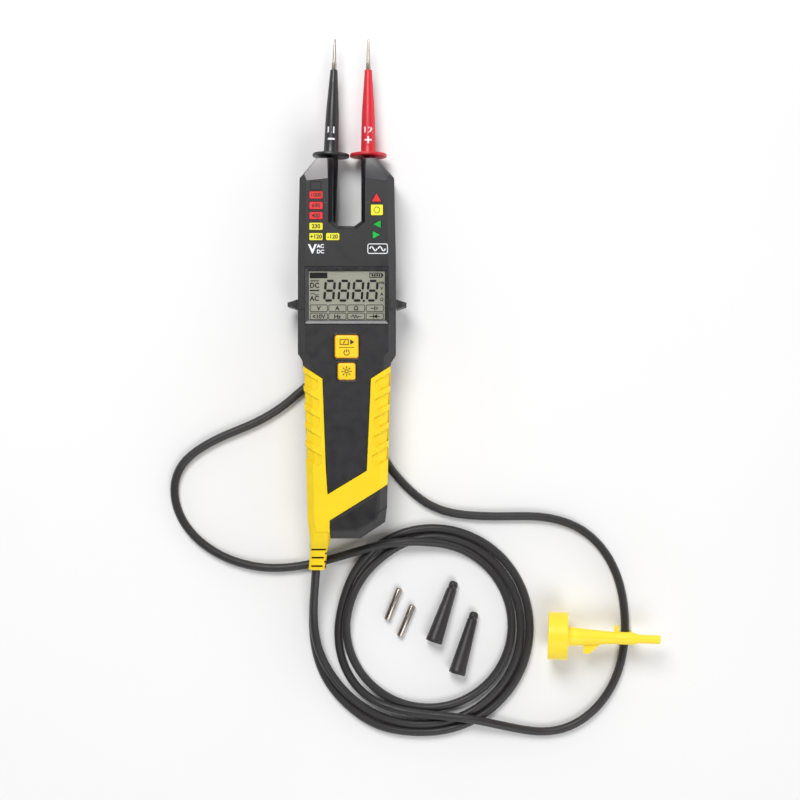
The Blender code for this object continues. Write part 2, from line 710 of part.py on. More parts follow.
# ---------------------------------------------------------------- cable boot

def boot_ring(bm, y, x, z, half_x, half_z, power):
    """One ring of the boot. A high power gives a square section, 2 a round one."""
    ring = []
    for i in range(24):
        angle = 2 * math.pi * i / 24
        c, s = math.cos(angle), math.sin(angle)
        reach = (abs(c) ** power + abs(s) ** power) ** (-1 / power)
        ring.append(bm.verts.new((x + half_x * reach * c, y, z + half_z * reach * s)))
    return ring


def make_cable_boot():
    bm = bmesh.new()
    start = BOTTOM_Y - GAP
    rings = [boot_ring(bm, start, -16.1, 19.0, 5.9, 8.4, 5),
             boot_ring(bm, start - 3.0, -16.5, 18.6, 5.6, 7.8, 4),
             boot_ring(bm, start - 5.8, -16.9, 18.0, 5.2, 6.4, 3)]
    for groove in range(3):
        y = start - 6.2 - groove * 4.2
        drift = groove * 0.45
        big, small = 5.1 - groove * 0.15, 3.9
        for step, radius in ((0.0, small), (-1.2, small), (-1.7, big), (-3.7, big)):
            rings.append(boot_ring(bm, y + step, -17.4 - drift * 0.8, 17.6 - drift * 0.5, radius, radius, 2))
    rings.append(boot_ring(bm, STRAIN_Y, STRAIN_X, STRAIN_Z, 4.4, 4.4, 2))
    bore = CORD_R + 0.35
    for y, x, z in ((STRAIN_Y, STRAIN_X, STRAIN_Z), (-118.0, -17.7, 17.4), (-113.5, -17.4, 17.4)):
        rings.append(boot_ring(bm, y, x, z, bore, bore, 2))
    for low, high in zip(rings, rings[1:]):
        for i in range(24):
            j = (i + 1) % 24
            bm.faces.new((low[i], low[j], high[j], high[i]))
    bm.faces.new(rings[0])
    bm.faces.new(rings[-1])
    put("cable_boot", bm, yellow())


# ---------------------------------------------------------------- cord

LEAD_ROUTE = [
    (-17.5, -115.0, 17.4), (-17.9, -122.0, 17.2), (-18.5, -130.5, 17.0), (-19.1, -138.5, 15.2),
    (-20.0, -147.0, 11.6), (-20.6, -155.5, 8.6), (-20.3, -165.2, 7.9), (-18.6, -176.5, 7.9),
    (-14.4, -187.2, 6.7)]

LOOP_ROUTE = [
    (-3.3, -123.6, 5.0), (-12.8, -126.3, 2.9), (-23.4, -128.9, 2.6), (-31.5, -130.4, 2.6),
    (-43.9, -131.3, 2.6), (-55.4, -130.4, 2.6), (-69.7, -126.6, 2.6), (-82.1, -120.4, 2.6),
    (-93.9, -110.6, 2.6), (-101.8, -98.2, 2.6), (-104.6, -86.5, 2.6), (-103.9, -76.7, 2.6),
    (-98.7, -67.0, 2.6), (-87.8, -58.8, 2.6), (-74.5, -51.8, 2.6), (-59.2, -45.9, 2.6),
    (-46.1, -39.1, 2.6), (-34.7, -31.2, 2.6), (-26.4, -23.0, 2.6), (-17.5, -17.0, 2.6),
    (-8.0, -15.2, 2.6), (1.5, -18.2, 2.6), (8.0, -26.0, 2.6), (11.5, -36.0, 2.6),
    (14.5, -47.0, 2.6), (18.3, -59.3, 2.6), (23.9, -70.2, 2.6), (33.2, -80.9, 2.6),
    (42.3, -89.6, 2.6), (52.6, -95.7, 2.6), (66.7, -99.1, 2.6), (90.9, -100.2, 2.6),
    (117.8, -100.4, 2.6), (138.7, -107.0, 2.6), (153.7, -121.0, 2.6), (162.6, -140.0, 2.6),
    (165.6, -160.0, 2.6), (165.3, -177.0, 2.6), (160.9, -195.5, 2.6), (151.7, -211.5, 2.6),
    (139.2, -222.8, 2.6), (126.8, -228.2, 2.6), (113.0, -229.2, 2.6), (96.0, -225.8, 3.9),
    (81.6, -222.3, 6.9)]

TAIL_ROUTE = [
    (26.2, -227.9, 2.6), (13.5, -223.6, 2.6), (-3.6, -210.2, 2.6), (-13.3, -197.8, 2.6),
    (-18.6, -184.5, 2.6), (-21.0, -170.5, 2.6), (-21.1, -158.0, 2.6), (-20.5, -148.0, 3.6),
    (-19.5, -138.0, 7.2), (-18.5, -127.5, 8.6), (-17.9, -116.0, 7.2), (-17.3, -104.0, 4.2),
    (-16.9, -92.0, 2.8), (-16.6, -79.0, 3.9), (-16.3, -66.0, 6.6), (-15.8, -53.0, 9.7)]


def smooth(points, step):
    """Points about one step apart along a centripetal Catmull-Rom curve through the route's points."""
    route = [Vector(point) for point in points]
    route = [2 * route[0] - route[1]] + route + [2 * route[-1] - route[-2]]
    fine = []
    for p0, p1, p2, p3 in zip(route, route[1:], route[2:], route[3:]):
        t0 = 0.0
        t1 = t0 + (p1 - p0).length ** 0.5
        t2 = t1 + (p2 - p1).length ** 0.5
        t3 = t2 + (p3 - p2).length ** 0.5
        for i in range(12):
            t = t1 + (t2 - t1) * i / 12
            a1 = p0 * ((t1 - t) / (t1 - t0)) + p1 * ((t - t0) / (t1 - t0))
            a2 = p1 * ((t2 - t) / (t2 - t1)) + p2 * ((t - t1) / (t2 - t1))
            a3 = p2 * ((t3 - t) / (t3 - t2)) + p3 * ((t - t2) / (t3 - t2))
            b1 = a1 * ((t2 - t) / (t2 - t0)) + a2 * ((t - t0) / (t2 - t0))
            b2 = a2 * ((t3 - t) / (t3 - t1)) + a3 * ((t - t1) / (t3 - t1))
            fine.append(b1 * ((t2 - t) / (t2 - t1)) + b2 * ((t - t1) / (t2 - t1)))
    fine.append(route[-2])
    lengths = [0.0]
    for a, b in zip(fine, fine[1:]):
        lengths.append(lengths[-1] + (b - a).length)
    count = max(3, round(lengths[-1] / step))
    spaced, at = [], 0
    for i in range(count + 1):
        want = lengths[-1] * i / count
        while at < len(fine) - 2 and lengths[at + 1] < want:
            at += 1
        share = (want - lengths[at]) / (lengths[at + 1] - lengths[at])
        spaced.append(fine[at].lerp(fine[at + 1], share))
    return spaced


def make_tube(name, route):
    curve = bpy.data.curves.new(name, "CURVE")
    curve.dimensions = "3D"
    curve.bevel_depth = CORD_R * MM
    curve.bevel_resolution = 2
    curve.use_fill_caps = True
    points = smooth(route, CORD_STEP)
    spline = curve.splines.new("POLY")
    spline.points.add(len(points) - 1)
    for spot, point in zip(spline.points, points):
        spot.co = (*(point * MM), 1)
    curve.materials.append(cord_rubber())
    made = bpy.data.objects.new(name, curve)
    bpy.context.collection.objects.link(made)


def make_coil():
    bm = turned([(0, COIL_IN), (0, COIL_OUT), (COIL_H, COIL_OUT), (COIL_H, COIL_IN)], 48, hollow=True)
    put("cord_coil", aim(bm, (COIL_X, COIL_Y, 0.0), (0, 0, 1)), cord_rubber())


def make_cord():
    inside = [probe_frame(BOOT_END), probe_frame(-141.0), probe_frame(-130.5)]
    make_tube("cord_lead", LEAD_ROUTE)
    make_tube("cord_loop", LOOP_ROUTE)
    make_tube("cord_tail", TAIL_ROUTE + inside)
    make_coil()


# ---------------------------------------------------------------- loose pieces

CAP_START = Vector((118.4, -169.2, 14.2))
CAP_END = Vector((183.8, -170.9, 19.9))
CAP_R = 13.9
FORK_X = 165.5


def make_protective_cap():
    """A cup with a long hollow neck, propped up by a fork that straddles the cord."""
    axis = CAP_END - CAP_START
    profile = [(0, 12.9), (0, CAP_R - 0.2), (0.3, CAP_R), (11.2, CAP_R), (11.5, CAP_R - 0.3), (11.5, 6.0),
               (12.6, 5.6), (26.0, 4.5), (40.0, 3.5), (42.5, 3.6), (50.0, 3.6), (53.0, 2.6), (65.4, 2.6),
               (65.8, 2.3), (65.8, 1.6), (15.0, 1.6), (15.0, 3.0), (9.9, 3.0), (9.9, 12.9)]
    cap = put("protective_cap", aim(turned(profile, 28, hollow=True), CAP_START, axis), cap_yellow())
    rib_plan = [(20.8, -9.6), (24.6, -9.6), (31.5, -3.5), (20.8, -3.5)]
    rib = loft([(-0.9, rib_plan), (0.9, rib_plan)])
    peg_plan = rectangle(38.8, 41.4, 2.6, 7.6)
    peg = loft([(-1.0, peg_plan), (1.0, peg_plan)])
    frame = axis.normalized().to_track_quat("X", "Z").to_matrix().to_4x4()
    for name, bm in (("cap_rib", rib), ("cap_peg", peg)):
        bmesh.ops.transform(bm, matrix=Matrix.Translation(CAP_START) @ frame, verts=bm.verts)
        combine(cap, put(name, bm, None, True), "UNION")
    arch = [(-4.6, 0.4), (-3.0, 0.4), (-2.9, 3.6), (-2.0, 5.2), (0.0, 5.8), (2.0, 5.2), (2.9, 3.6)]
    arch += [(3.0, 0.4), (4.6, 0.4), (3.4, 17.4), (-3.4, 16.8)]
    fork = loft([(-2.0, arch), (2.0, arch)])
    turn = Matrix.Rotation(math.radians(90), 4, "X")
    bmesh.ops.transform(fork, matrix=Matrix.Translation((FORK_X, -170.5, 0.0)) @ turn, verts=fork.verts)
    combine(cap, put("cap_fork", fork, None, True), "UNION")


ADAPTERS = [((23.2, -162.1), (30.7, -143.4)), ((30.7, -172.0), (38.7, -153.1))]
TIP_COVERS = [((51.1, -174.9), (63.7, -138.8)), ((64.9, -193.8), (75.8, -157.0))]


def make_accessories():
    sleeve = [(0, 1.25), (0, 1.7), (0.4, 2.0), (19.8, 2.0), (20.2, 1.7), (20.2, 1.25)]
    for i, (foot, top) in enumerate(ADAPTERS, 1):
        axis = Vector((*top, 0)) - Vector((*foot, 0))
        put(f"tip_adapter_{i}", aim(turned(sleeve, 16, hollow=True), (*foot, 2.1), axis), metal())
    cover = [(0, 3.6), (0, 4.9), (0.4, 5.1), (33.0, 3.0), (34.4, 2.6), (38.2, 2.3), (38.2, 0)]
    cover += [(30.0, 0), (30.0, 2.2)]
    for i, (foot, top) in enumerate(TIP_COVERS, 1):
        axis = Vector((*top, 2.9)) - Vector((*foot, 5.2))
        bm = aim(turned(cover, 20, hollow=True), (*foot, 5.25), axis)
        put(f"tip_cover_{i}", bm, cord_rubber())


def main():
    clear_scene()
    groove = make_grip_parts()
    make_front_shell(groove)
    make_rear_shell(groove)
    make_battery_cover()
    make_case_screws()
    make_finger_guards()
    make_keys()
    make_display()
    make_indicator_lenses()
    make_electronics()
    make_cells()
    make_red_probe()
    make_black_probe()
    make_cable_boot()
    make_cord()
    make_protective_cap()
    make_accessories()


main()
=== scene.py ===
"""Looks of the two-pole voltage tester: surfaces, markings, cord and materials around the frame."""
import math

import bmesh
import bpy
from mathutils import Matrix, Vector


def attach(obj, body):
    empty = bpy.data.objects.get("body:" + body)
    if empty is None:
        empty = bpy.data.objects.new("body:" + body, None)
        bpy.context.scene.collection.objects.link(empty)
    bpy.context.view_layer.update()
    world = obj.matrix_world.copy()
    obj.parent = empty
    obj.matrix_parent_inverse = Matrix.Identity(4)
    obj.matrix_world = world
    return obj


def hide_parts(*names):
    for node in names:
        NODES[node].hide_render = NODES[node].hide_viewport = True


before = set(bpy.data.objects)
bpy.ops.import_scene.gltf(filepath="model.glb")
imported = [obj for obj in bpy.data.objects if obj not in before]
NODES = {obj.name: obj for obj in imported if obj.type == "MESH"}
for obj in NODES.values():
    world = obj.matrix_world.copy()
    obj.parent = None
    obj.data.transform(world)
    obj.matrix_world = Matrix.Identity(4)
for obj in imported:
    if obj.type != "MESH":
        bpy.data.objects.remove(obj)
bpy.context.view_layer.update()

MM = 0.001
BODY = "instrument"

# Driving dimensions in millimetres, as the frame has them
FACE_Z = 32.0
CORD_R = 2.5
COIL_X, COIL_Y = 48.1, -165.2
PROBE_Z = 11.1
GUARD_Y = 113.4
RED_X = 12.2
BLACK_X = -10.0
BLACK_LEAN = math.radians(2.0)


# ---------------------------------------------------------------- materials

def shader_of(made):
    return made.node_tree.nodes["Principled BSDF"]


def new_material(name, color, roughness, metallic=0.0):
    made = bpy.data.materials.new(name)
    made.use_nodes = True
    shader = shader_of(made)
    shader.inputs["Base Color"].default_value = (*color, 1.0)
    shader.inputs["Roughness"].default_value = roughness
    shader.inputs["Metallic"].default_value = metallic
    return made


def node(tree, kind, **values):
    made = tree.nodes.new(kind)
    for key, value in values.items():
        if key in made.inputs:
            made.inputs[key].default_value = value
        else:
            setattr(made, key, value)
    return made


def object_noise(tree, scale, detail=2.0, roughness=0.5, stretch=None):
    """Noise in the object's own coordinates, finer as scale grows (features per metre)."""
    coords = node(tree, "ShaderNodeTexCoord")
    vector = coords.outputs["Object"]
    if stretch:
        mapping = node(tree, "ShaderNodeMapping")
        mapping.inputs["Scale"].default_value = stretch
        tree.links.new(vector, mapping.inputs["Vector"])
        vector = mapping.outputs["Vector"]
    noise = node(tree, "ShaderNodeTexNoise", Scale=scale, Detail=detail, Roughness=roughness)
    tree.links.new(vector, noise.inputs["Vector"])
    return noise.outputs["Fac"]


def ramp(tree, factor, stops):
    made = node(tree, "ShaderNodeValToRGB")
    elements = made.color_ramp.elements
    while len(elements) < len(stops):
        elements.new(0.5)
    for element, (at, color) in zip(elements, stops):
        element.position = at
        element.color = (*color, 1.0)
    tree.links.new(factor, made.inputs["Fac"])
    return made.outputs["Color"]


def spread(color, change):
    return tuple(min(1.0, c * (1 + change)) for c in color)


def tint(made, color, change, scale, **options):
    """Colour that drifts a little over the surface."""
    tree = made.node_tree
    factor = object_noise(tree, scale, **options)
    color = ramp(tree, factor, [(0.3, spread(color, -change)), (0.7, spread(color, change))])
    tree.links.new(color, shader_of(made).inputs["Base Color"])


def vary_roughness(made, low, high, scale, **options):
    tree = made.node_tree
    factor = object_noise(tree, scale, **options)
    span = node(tree, "ShaderNodeMapRange")
    span.inputs["From Min"].default_value = 0.3
    span.inputs["From Max"].default_value = 0.7
    span.inputs["To Min"].default_value = low
    span.inputs["To Max"].default_value = high
    tree.links.new(factor, span.inputs["Value"])
    tree.links.new(span.outputs["Result"], shader_of(made).inputs["Roughness"])


def bump(made, factor, strength, distance):
    tree = made.node_tree
    step = node(tree, "ShaderNodeBump", Strength=strength, Distance=distance)
    tree.links.new(factor, step.inputs["Height"])
    tree.links.new(step.outputs["Normal"], shader_of(made).inputs["Normal"])


def moulded(name, color, roughness, grain=2600.0, strength=0.25, change=0.06):
    """Injection-moulded plastic: a spark-eroded grain, soft drift of colour and uneven gloss."""
    made = new_material(name, color, roughness)
    tint(made, color, change, 90.0, detail=3.0)
    vary_roughness(made, roughness - 0.06, roughness + 0.08, 160.0, detail=4.0)
    bump(made, object_noise(made.node_tree, grain, detail=2.0), strength, 0.00008)
    return made


def rubber(name, color, roughness, sheen=0.0):
    """Soft-touch elastomer with a fine even grain."""
    made = moulded(name, color, roughness, grain=3200.0, strength=0.18, change=0.035)
    shader_of(made).inputs["Sheen Weight"].default_value = sheen
    shader_of(made).inputs["Specular IOR Level"].default_value = 0.4
    shader_of(made).inputs["Sheen Roughness"].default_value = 0.5
    return made


def metal(name, color, roughness, stretch=(1.0, 12.0, 1.0)):
    """Plated metal with fine turning marks."""
    made = new_material(name, color, roughness, 1.0)
    tint(made, color, 0.08, 220.0, detail=3.0)
    vary_roughness(made, roughness - 0.07, roughness + 0.1, 700.0, stretch=stretch)
    bump(made, object_noise(made.node_tree, 1500.0, stretch=stretch), 0.15, 0.00005)
    return made


def clear(name, color, alpha, roughness=0.04):
    made = new_material(name, color, roughness)
    shader_of(made).inputs["Alpha"].default_value = alpha
    shader_of(made).inputs["Specular IOR Level"].default_value = 0.25
    return made


BLACK = moulded("black_plastic", (0.0125, 0.0115, 0.0135), 0.42, change=0.03)
BLACK_SOFT = moulded("black_panel", (0.008, 0.0075, 0.009), 0.40, grain=3600.0, strength=0.12)
BEZEL = moulded("display_bezel", (0.024, 0.023, 0.026), 0.26, strength=0.08)
YELLOW = rubber("yellow_rubber", (0.84, 0.60, 0.001), 0.55)
KEY_YELLOW = moulded("key_yellow", (0.88, 0.58, 0.005), 0.40, strength=0.1, change=0.02)
KEY_EDGE = moulded("key_edge", (0.62, 0.25, 0.004), 0.40, strength=0.1, change=0.03)
RED = moulded("red_plastic", (0.60, 0.010, 0.024), 0.38, strength=0.15)
BOOT_SHADE = rubber("boot_shade", (0.055, 0.016, 0.002), 0.7)
PROBE_BLACK = moulded("probe_black", (0.020, 0.019, 0.021), 0.36, strength=0.15)
NICKEL = metal("nickel", (0.42, 0.385, 0.34), 0.30)
CORD_SKIN = rubber("cord_rubber", (0.022, 0.020, 0.021), 0.42, sheen=0.1)
CAP_YELLOW = moulded("cap_yellow", (0.93, 0.70, 0.02), 0.42, strength=0.12, change=0.02)
PRINT_WHITE = moulded("print_white", (0.78, 0.80, 0.82), 0.55, strength=0.05)
PRINT_DARK = moulded("print_dark", (0.030, 0.020, 0.012), 0.55, strength=0.05)
# One silver-grey ink for both prong patches, as lit and shaded copies: painted highlight on the left,
# painted shade on the right. The darker one also colours the small prong marks.
PATCH_INK_HIGHLIT = moulded("patch_ink_painted_highlight", (0.30, 0.29, 0.295), 0.42, strength=0.1)
PATCH_INK_SHADED_AND_MARKS = moulded("patch_ink_painted_shade_and_marks", (0.062, 0.060, 0.064), 0.42, strength=0.1)
COVER_GREY = moulded("cover_plastic", (0.022, 0.020, 0.0205), 0.42)
# Near-black for the embossed prong frame, the cover joint and the rims round the indicator windows. On the
# rims it is painted shade of the recess round each lens.
MARK_AND_SHADE_GREY = moulded("mark_and_shade_grey", (0.003, 0.003, 0.0035), 0.75, strength=0.05)
# Light grey on the display opening's lower lip: a painted highlight for the reflection on the glossy black
# bevel.
LIP_HIGHLIGHT = moulded("display_lip_highlight", (0.26, 0.26, 0.27), 0.25, strength=0.05)
LCD = new_material("lcd_glass", (0.36, 0.363, 0.29), 0.35)
tint(LCD, (0.36, 0.363, 0.29), 0.03, 60.0)
vary_roughness(LCD, 0.3, 0.42, 300.0)
SEGMENT = moulded("lcd_segment", (0.003, 0.003, 0.004), 0.75, strength=0.03)
CLEAR = clear("clear_window", (0.02, 0.02, 0.02), 0.05)
LAMP_RED = moulded("lamp_red", (0.80, 0.02, 0.025), 0.3, strength=0.05)
LAMP_YELLOW = moulded("lamp_yellow", (0.80, 0.75, 0.03), 0.3, strength=0.05)
LAMP_GREEN = moulded("lamp_green", (0.01, 0.42, 0.06), 0.25, strength=0.05)
CIRCUIT = moulded("circuit_green", (0.02, 0.16, 0.06), 0.4)
MEMBRANE = rubber("membrane_rubber", (0.25, 0.25, 0.26), 0.6)
CORE = metal("core_steel", (0.30, 0.30, 0.32), 0.45)
COPPER = metal("copper", (0.72, 0.35, 0.16), 0.35, stretch=(1.0, 1.0, 20.0))
CELL = moulded("cell_jacket", (0.12, 0.14, 0.20), 0.35, strength=0.05)
BACKLIGHT = moulded("backlight_white", (0.8, 0.8, 0.75), 0.5, strength=0.05)
CONNECTOR = rubber("connector_rubber", (0.35, 0.35, 0.37), 0.6)


# ---------------------------------------------------------------- camera, light and floor

def make_camera():
    data = bpy.data.cameras.new("camera")
    data.sensor_width = 36.0
    data.lens = 75.0
    made = bpy.data.objects.new("camera", data)
    made.location = (0.031, -0.0305, 1.0)
    bpy.context.collection.objects.link(made)
    bpy.context.scene.camera = made


def make_area(name, location, target, size, power, color=(1.0, 1.0, 1.0)):
    data = bpy.data.lights.new(name, "AREA")
    data.shape = "DISK"
    data.size = size
    data.energy = power
    data.color = color
    made = bpy.data.objects.new(name, data)
    made.location = location
    aim = Vector(target) - Vector(location)
    made.rotation_euler = aim.to_track_quat("-Z", "Y").to_euler()
    bpy.context.collection.objects.link(made)


def make_lights():
    """Broad soft lights above the top left and below the right, and surroundings brightest low down."""
    make_area("key", (-0.3, 0.85, 1.35), (0.0, -0.03, 0.0), 0.85, 19.5, (1.0, 0.997, 0.985))
    make_area("fill", (0.4, -0.95, 1.3), (0.03, -0.05, 0.0), 0.9, 9.0)
    world = bpy.data.worlds.new("studio")
    world.use_nodes = True
    tree = world.node_tree
    coords = node(tree, "ShaderNodeTexCoord")
    split = node(tree, "ShaderNodeSeparateXYZ")
    tree.links.new(coords.outputs["Generated"], split.inputs["Vector"])
    low, mid, high = (1.0, 1.0, 1.0), (0.36, 0.36, 0.365), (0.10, 0.10, 0.103)
    color = ramp(tree, split.outputs["Z"], [(0.2, low), (0.5, mid), (0.72, high)])
    across = node(tree, "ShaderNodeMapRange")
    across.inputs["From Min"].default_value = -1.0
    across.inputs["From Max"].default_value = 1.0
    across.inputs["To Min"].default_value = 0.8
    across.inputs["To Max"].default_value = 2.0
    tree.links.new(split.outputs["X"], across.inputs["Value"])
    background = tree.nodes["Background"]
    tree.links.new(color, background.inputs["Color"])
    tree.links.new(across.outputs["Result"], background.inputs["Strength"])
    bpy.context.scene.world = world
    bpy.context.scene.view_settings.view_transform = "Standard"


def make_floor():
    bm = bmesh.new()
    bmesh.ops.create_grid(bm, x_segments=1, y_segments=1, size=3.0)
    mesh = bpy.data.meshes.new("table_top")
    bm.to_mesh(mesh)
    bm.free()
    made = bpy.data.objects.new("table_top", mesh)
    made.location = (0.0, 0.0, -0.0001)
    bpy.context.collection.objects.link(made)
    paper = new_material("paper", (0.84, 0.84, 0.845), 0.8)
    tint(paper, (0.84, 0.84, 0.845), 0.01, 6.0)
    mesh.materials.append(paper)


# ---------------------------------------------------------------- cord

LEAD_ROUTE = [
    (-17.5, -115.0, 17.4), (-17.9, -122.0, 17.2), (-18.5, -130.5, 17.0), (-19.1, -138.5, 15.2),
    (-20.0, -147.0, 11.6), (-20.6, -155.5, 8.6), (-20.3, -165.2, 7.9), (-18.6, -176.5, 7.9),
    (-14.4, -187.2, 6.7)]

LOOP_ROUTE = [
    (-3.3, -123.6, 5.0), (-12.8, -126.3, 2.9), (-23.4, -128.9, 2.6), (-31.5, -130.4, 2.6),
    (-43.9, -131.3, 2.6), (-55.4, -130.4, 2.6), (-69.7, -126.6, 2.6), (-82.1, -120.4, 2.6),
    (-93.9, -110.6, 2.6), (-101.8, -98.2, 2.6), (-104.6, -86.5, 2.6), (-103.9, -76.7, 2.6),
    (-98.7, -67.0, 2.6), (-87.8, -58.8, 2.6), (-74.5, -51.8, 2.6), (-59.2, -45.9, 2.6),
    (-46.1, -39.1, 2.6), (-34.7, -31.2, 2.6), (-26.4, -23.0, 2.6), (-17.5, -17.0, 2.6),
    (-8.0, -15.2, 2.6), (1.5, -18.2, 2.6), (8.0, -26.0, 2.6), (11.5, -36.0, 2.6),
    (14.5, -47.0, 2.6), (18.3, -59.3, 2.6), (23.9, -70.2, 2.6), (33.2, -80.9, 2.6),
    (42.3, -89.6, 2.6), (52.6, -95.7, 2.6), (66.7, -99.1, 2.6), (90.9, -100.2, 2.6),
    (117.8, -100.4, 2.6), (138.7, -107.0, 2.6), (153.7, -121.0, 2.6), (162.6, -140.0, 2.6),
    (165.6, -160.0, 2.6), (165.3, -177.0, 2.6), (160.9, -195.5, 2.6), (151.7, -211.5, 2.6),
    (139.2, -222.8, 2.6), (126.8, -228.2, 2.6), (113.0, -229.2, 2.6), (96.0, -225.8, 3.9),
    (81.6, -222.3, 6.9)]

TAIL_ROUTE = [
    (26.2, -227.9, 2.6), (13.5, -223.6, 2.6), (-3.6, -210.2, 2.6), (-13.3, -197.8, 2.6),
    (-18.6, -184.5, 2.6), (-21.0, -170.5, 2.6), (-21.1, -158.0, 2.6), (-20.5, -148.0, 3.6),
    (-19.5, -138.0, 7.2), (-18.5, -127.5, 8.6), (-17.9, -116.0, 7.2), (-17.3, -104.0, 4.2),
    (-16.9, -92.0, 2.8), (-16.6, -79.0, 3.9), (-16.3, -66.0, 6.6), (-15.8, -53.0, 9.7)]

# The coil's turns about its middle: degrees anticlockwise from +X, radius and height.
INNER_TURNS = [
    (200, 66.3, 6.7), (212, 64.7, 4.6), (225, 63.4, 3.2), (242, 61.8, 2.6), (270, 59.4, 2.6),
    (315, 57.0, 2.6), (360, 55.6, 2.6), (405, 54.6, 2.6), (450, 53.5, 2.6), (465, 51.8, 2.6),
    (480, 49.8, 2.6), (500, 49.2, 3.2), (521, 49.1, 5.5), (540, 49.7, 5.5), (562, 49.8, 4.4),
    (585, 49.8, 2.6), (630, 49.8, 2.6), (720, 50.2, 2.6), (765, 49.9, 2.6), (800, 50.0, 4.2),
    (810, 49.8, 6.0), (820, 51.5, 7.3), (830, 53.4, 7.7), (839, 55.8, 7.7), (850, 60.1, 7.6)]
OUTER_TURNS = [
    (300, 65.3, 7.7), (288, 57.0, 7.7), (273, 52.8, 6.3), (251, 53.2, 6.2), (235, 56.1, 2.6),
    (221, 57.1, 2.6), (208, 56.6, 2.6), (195, 55.5, 2.6), (182, 54.3, 2.6), (164, 53.1, 2.6),
    (123, 56.8, 2.6), (90, 58.4, 2.6), (45, 60.0, 2.6), (0, 60.8, 2.6), (-45, 62.5, 2.6),
    (-90, 64.2, 2.6)]


def probe_frame(t, side=0.0, z=0.0):
    """A point in the hand probe's own frame: t along its axis from the guard, side across, z up."""
    s, c = math.sin(BLACK_LEAN), math.cos(BLACK_LEAN)
    return (BLACK_X + t * s + side * c, GUARD_Y + t * c - side * s, PROBE_Z + z)


def around_coil(turns):
    """Points every 12 degrees or less between the knots of a coil's turns."""
    points = []
    for (a0, r0, z0), (a1, r1, z1) in zip(turns, turns[1:]):
        steps = max(1, math.ceil(abs(a1 - a0) / 12))
        for i in range(steps):
            share = i / steps
            angle = math.radians(a0 + (a1 - a0) * share)
            r = r0 + (r1 - r0) * share
            z = z0 + (z1 - z0) * share
            points.append((COIL_X + r * math.cos(angle), COIL_Y + r * math.sin(angle), z))
    angle, r, z = math.radians(turns[-1][0]), turns[-1][1], turns[-1][2]
    points.append((COIL_X + r * math.cos(angle), COIL_Y + r * math.sin(angle), z))
    return points


def smooth(points, step):
    """Points about one step apart along a centripetal Catmull-Rom curve through the route's points."""
    route = [Vector(point) for point in points]
    route = [2 * route[0] - route[1]] + route + [2 * route[-1] - route[-2]]
    fine = []
    for p0, p1, p2, p3 in zip(route, route[1:], route[2:], route[3:]):
        t0 = 0.0
        t1 = t0 + (p1 - p0).length ** 0.5
        t2 = t1 + (p2 - p1).length ** 0.5
        t3 = t2 + (p3 - p2).length ** 0.5
        for i in range(12):
            t = t1 + (t2 - t1) * i / 12
            a1 = p0 * ((t1 - t) / (t1 - t0)) + p1 * ((t - t0) / (t1 - t0))
            a2 = p1 * ((t2 - t) / (t2 - t1)) + p2 * ((t - t1) / (t2 - t1))
            a3 = p2 * ((t3 - t) / (t3 - t2)) + p3 * ((t - t2) / (t3 - t2))
            b1 = a1 * ((t2 - t) / (t2 - t0)) + a2 * ((t - t0) / (t2 - t0))
            b2 = a2 * ((t3 - t) / (t3 - t1)) + a3 * ((t - t1) / (t3 - t1))
            fine.append(b1 * ((t2 - t) / (t2 - t1)) + b2 * ((t - t1) / (t2 - t1)))
    fine.append(route[-2])
    lengths = [0.0]
    for a, b in zip(fine, fine[1:]):
        lengths.append(lengths[-1] + (b - a).length)
    count = max(3, round(lengths[-1] / step))
    spaced, at = [], 0
    for i in range(count + 1):
        want = lengths[-1] * i / count
        while at < len(fine) - 2 and lengths[at + 1] < want:
            at += 1
        share = (want - lengths[at]) / (lengths[at + 1] - lengths[at])
        spaced.append(fine[at].lerp(fine[at + 1], share))
    return spaced


def relaxed(points, rounds):
    """The same points with small kinks eased out, the ends kept."""
    for _ in range(rounds):
        inner = [(a + 2 * b + c) / 4 for a, b, c in zip(points, points[1:], points[2:])]
        points = [points[0]] + inner + [points[-1]]
    return points


def make_cord():
    inside = [probe_frame(-150.3), probe_frame(-141.0), probe_frame(-130.5)]
    route = LEAD_ROUTE + around_coil(INNER_TURNS)[1:] + LOOP_ROUTE
    route += around_coil(OUTER_TURNS) + TAIL_ROUTE + inside
    points = relaxed(smooth(route, 4.0), 6)
    curve = bpy.data.curves.new("cord", "CURVE")
    curve.dimensions = "3D"
    curve.bevel_depth = CORD_R * MM
    curve.bevel_resolution = 4
    curve.use_fill_caps = True
    spline = curve.splines.new("POLY")
    spline.points.add(len(points) - 1)
    for spot, point in zip(spline.points, points):
        spot.co = (*(point * MM), 1)
    curve.materials.append(CORD_SKIN)
    made = bpy.data.objects.new("cord", curve)
    bpy.context.collection.objects.link(made)
    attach(made, BODY)
    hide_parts("cord_lead", "cord_loop", "cord_tail", "cord_coil")


# ---------------------------------------------------------------- outlines and solids, in millimetres

def loft(levels):
    bm = bmesh.new()
    add_loft(bm, levels)
    return bm


def add_loft(bm, levels):
    """A closed solid through outlines of equal length, each given as (z, points)."""
    rings = [[bm.verts.new((x, y, z)) for x, y in outline] for z, outline in levels]
    for low, high in zip(rings, rings[1:]):
        for i, corner in enumerate(low):
            j = (i + 1) % len(low)
            bm.faces.new((corner, low[j], high[j], high[i]))
    bm.faces.new(list(reversed(rings[0])))
    bm.faces.new(rings[-1])


def rectangle(x0, x1, y0, y1):
    return [(x0, y0), (x1, y0), (x1, y1), (x0, y1)]


def rounded(x, y, width, height, radius, steps=6):
    points = []
    for sx, sy, start in ((1, 1, 0), (-1, 1, 90), (-1, -1, 180), (1, -1, 270)):
        cx = x + sx * (width / 2 - radius)
        cy = y + sy * (height / 2 - radius)
        for i in range(steps + 1):
            angle = math.radians(start + 90 * i / steps)
            points.append((cx + radius * math.cos(angle), cy + radius * math.sin(angle)))
    return points


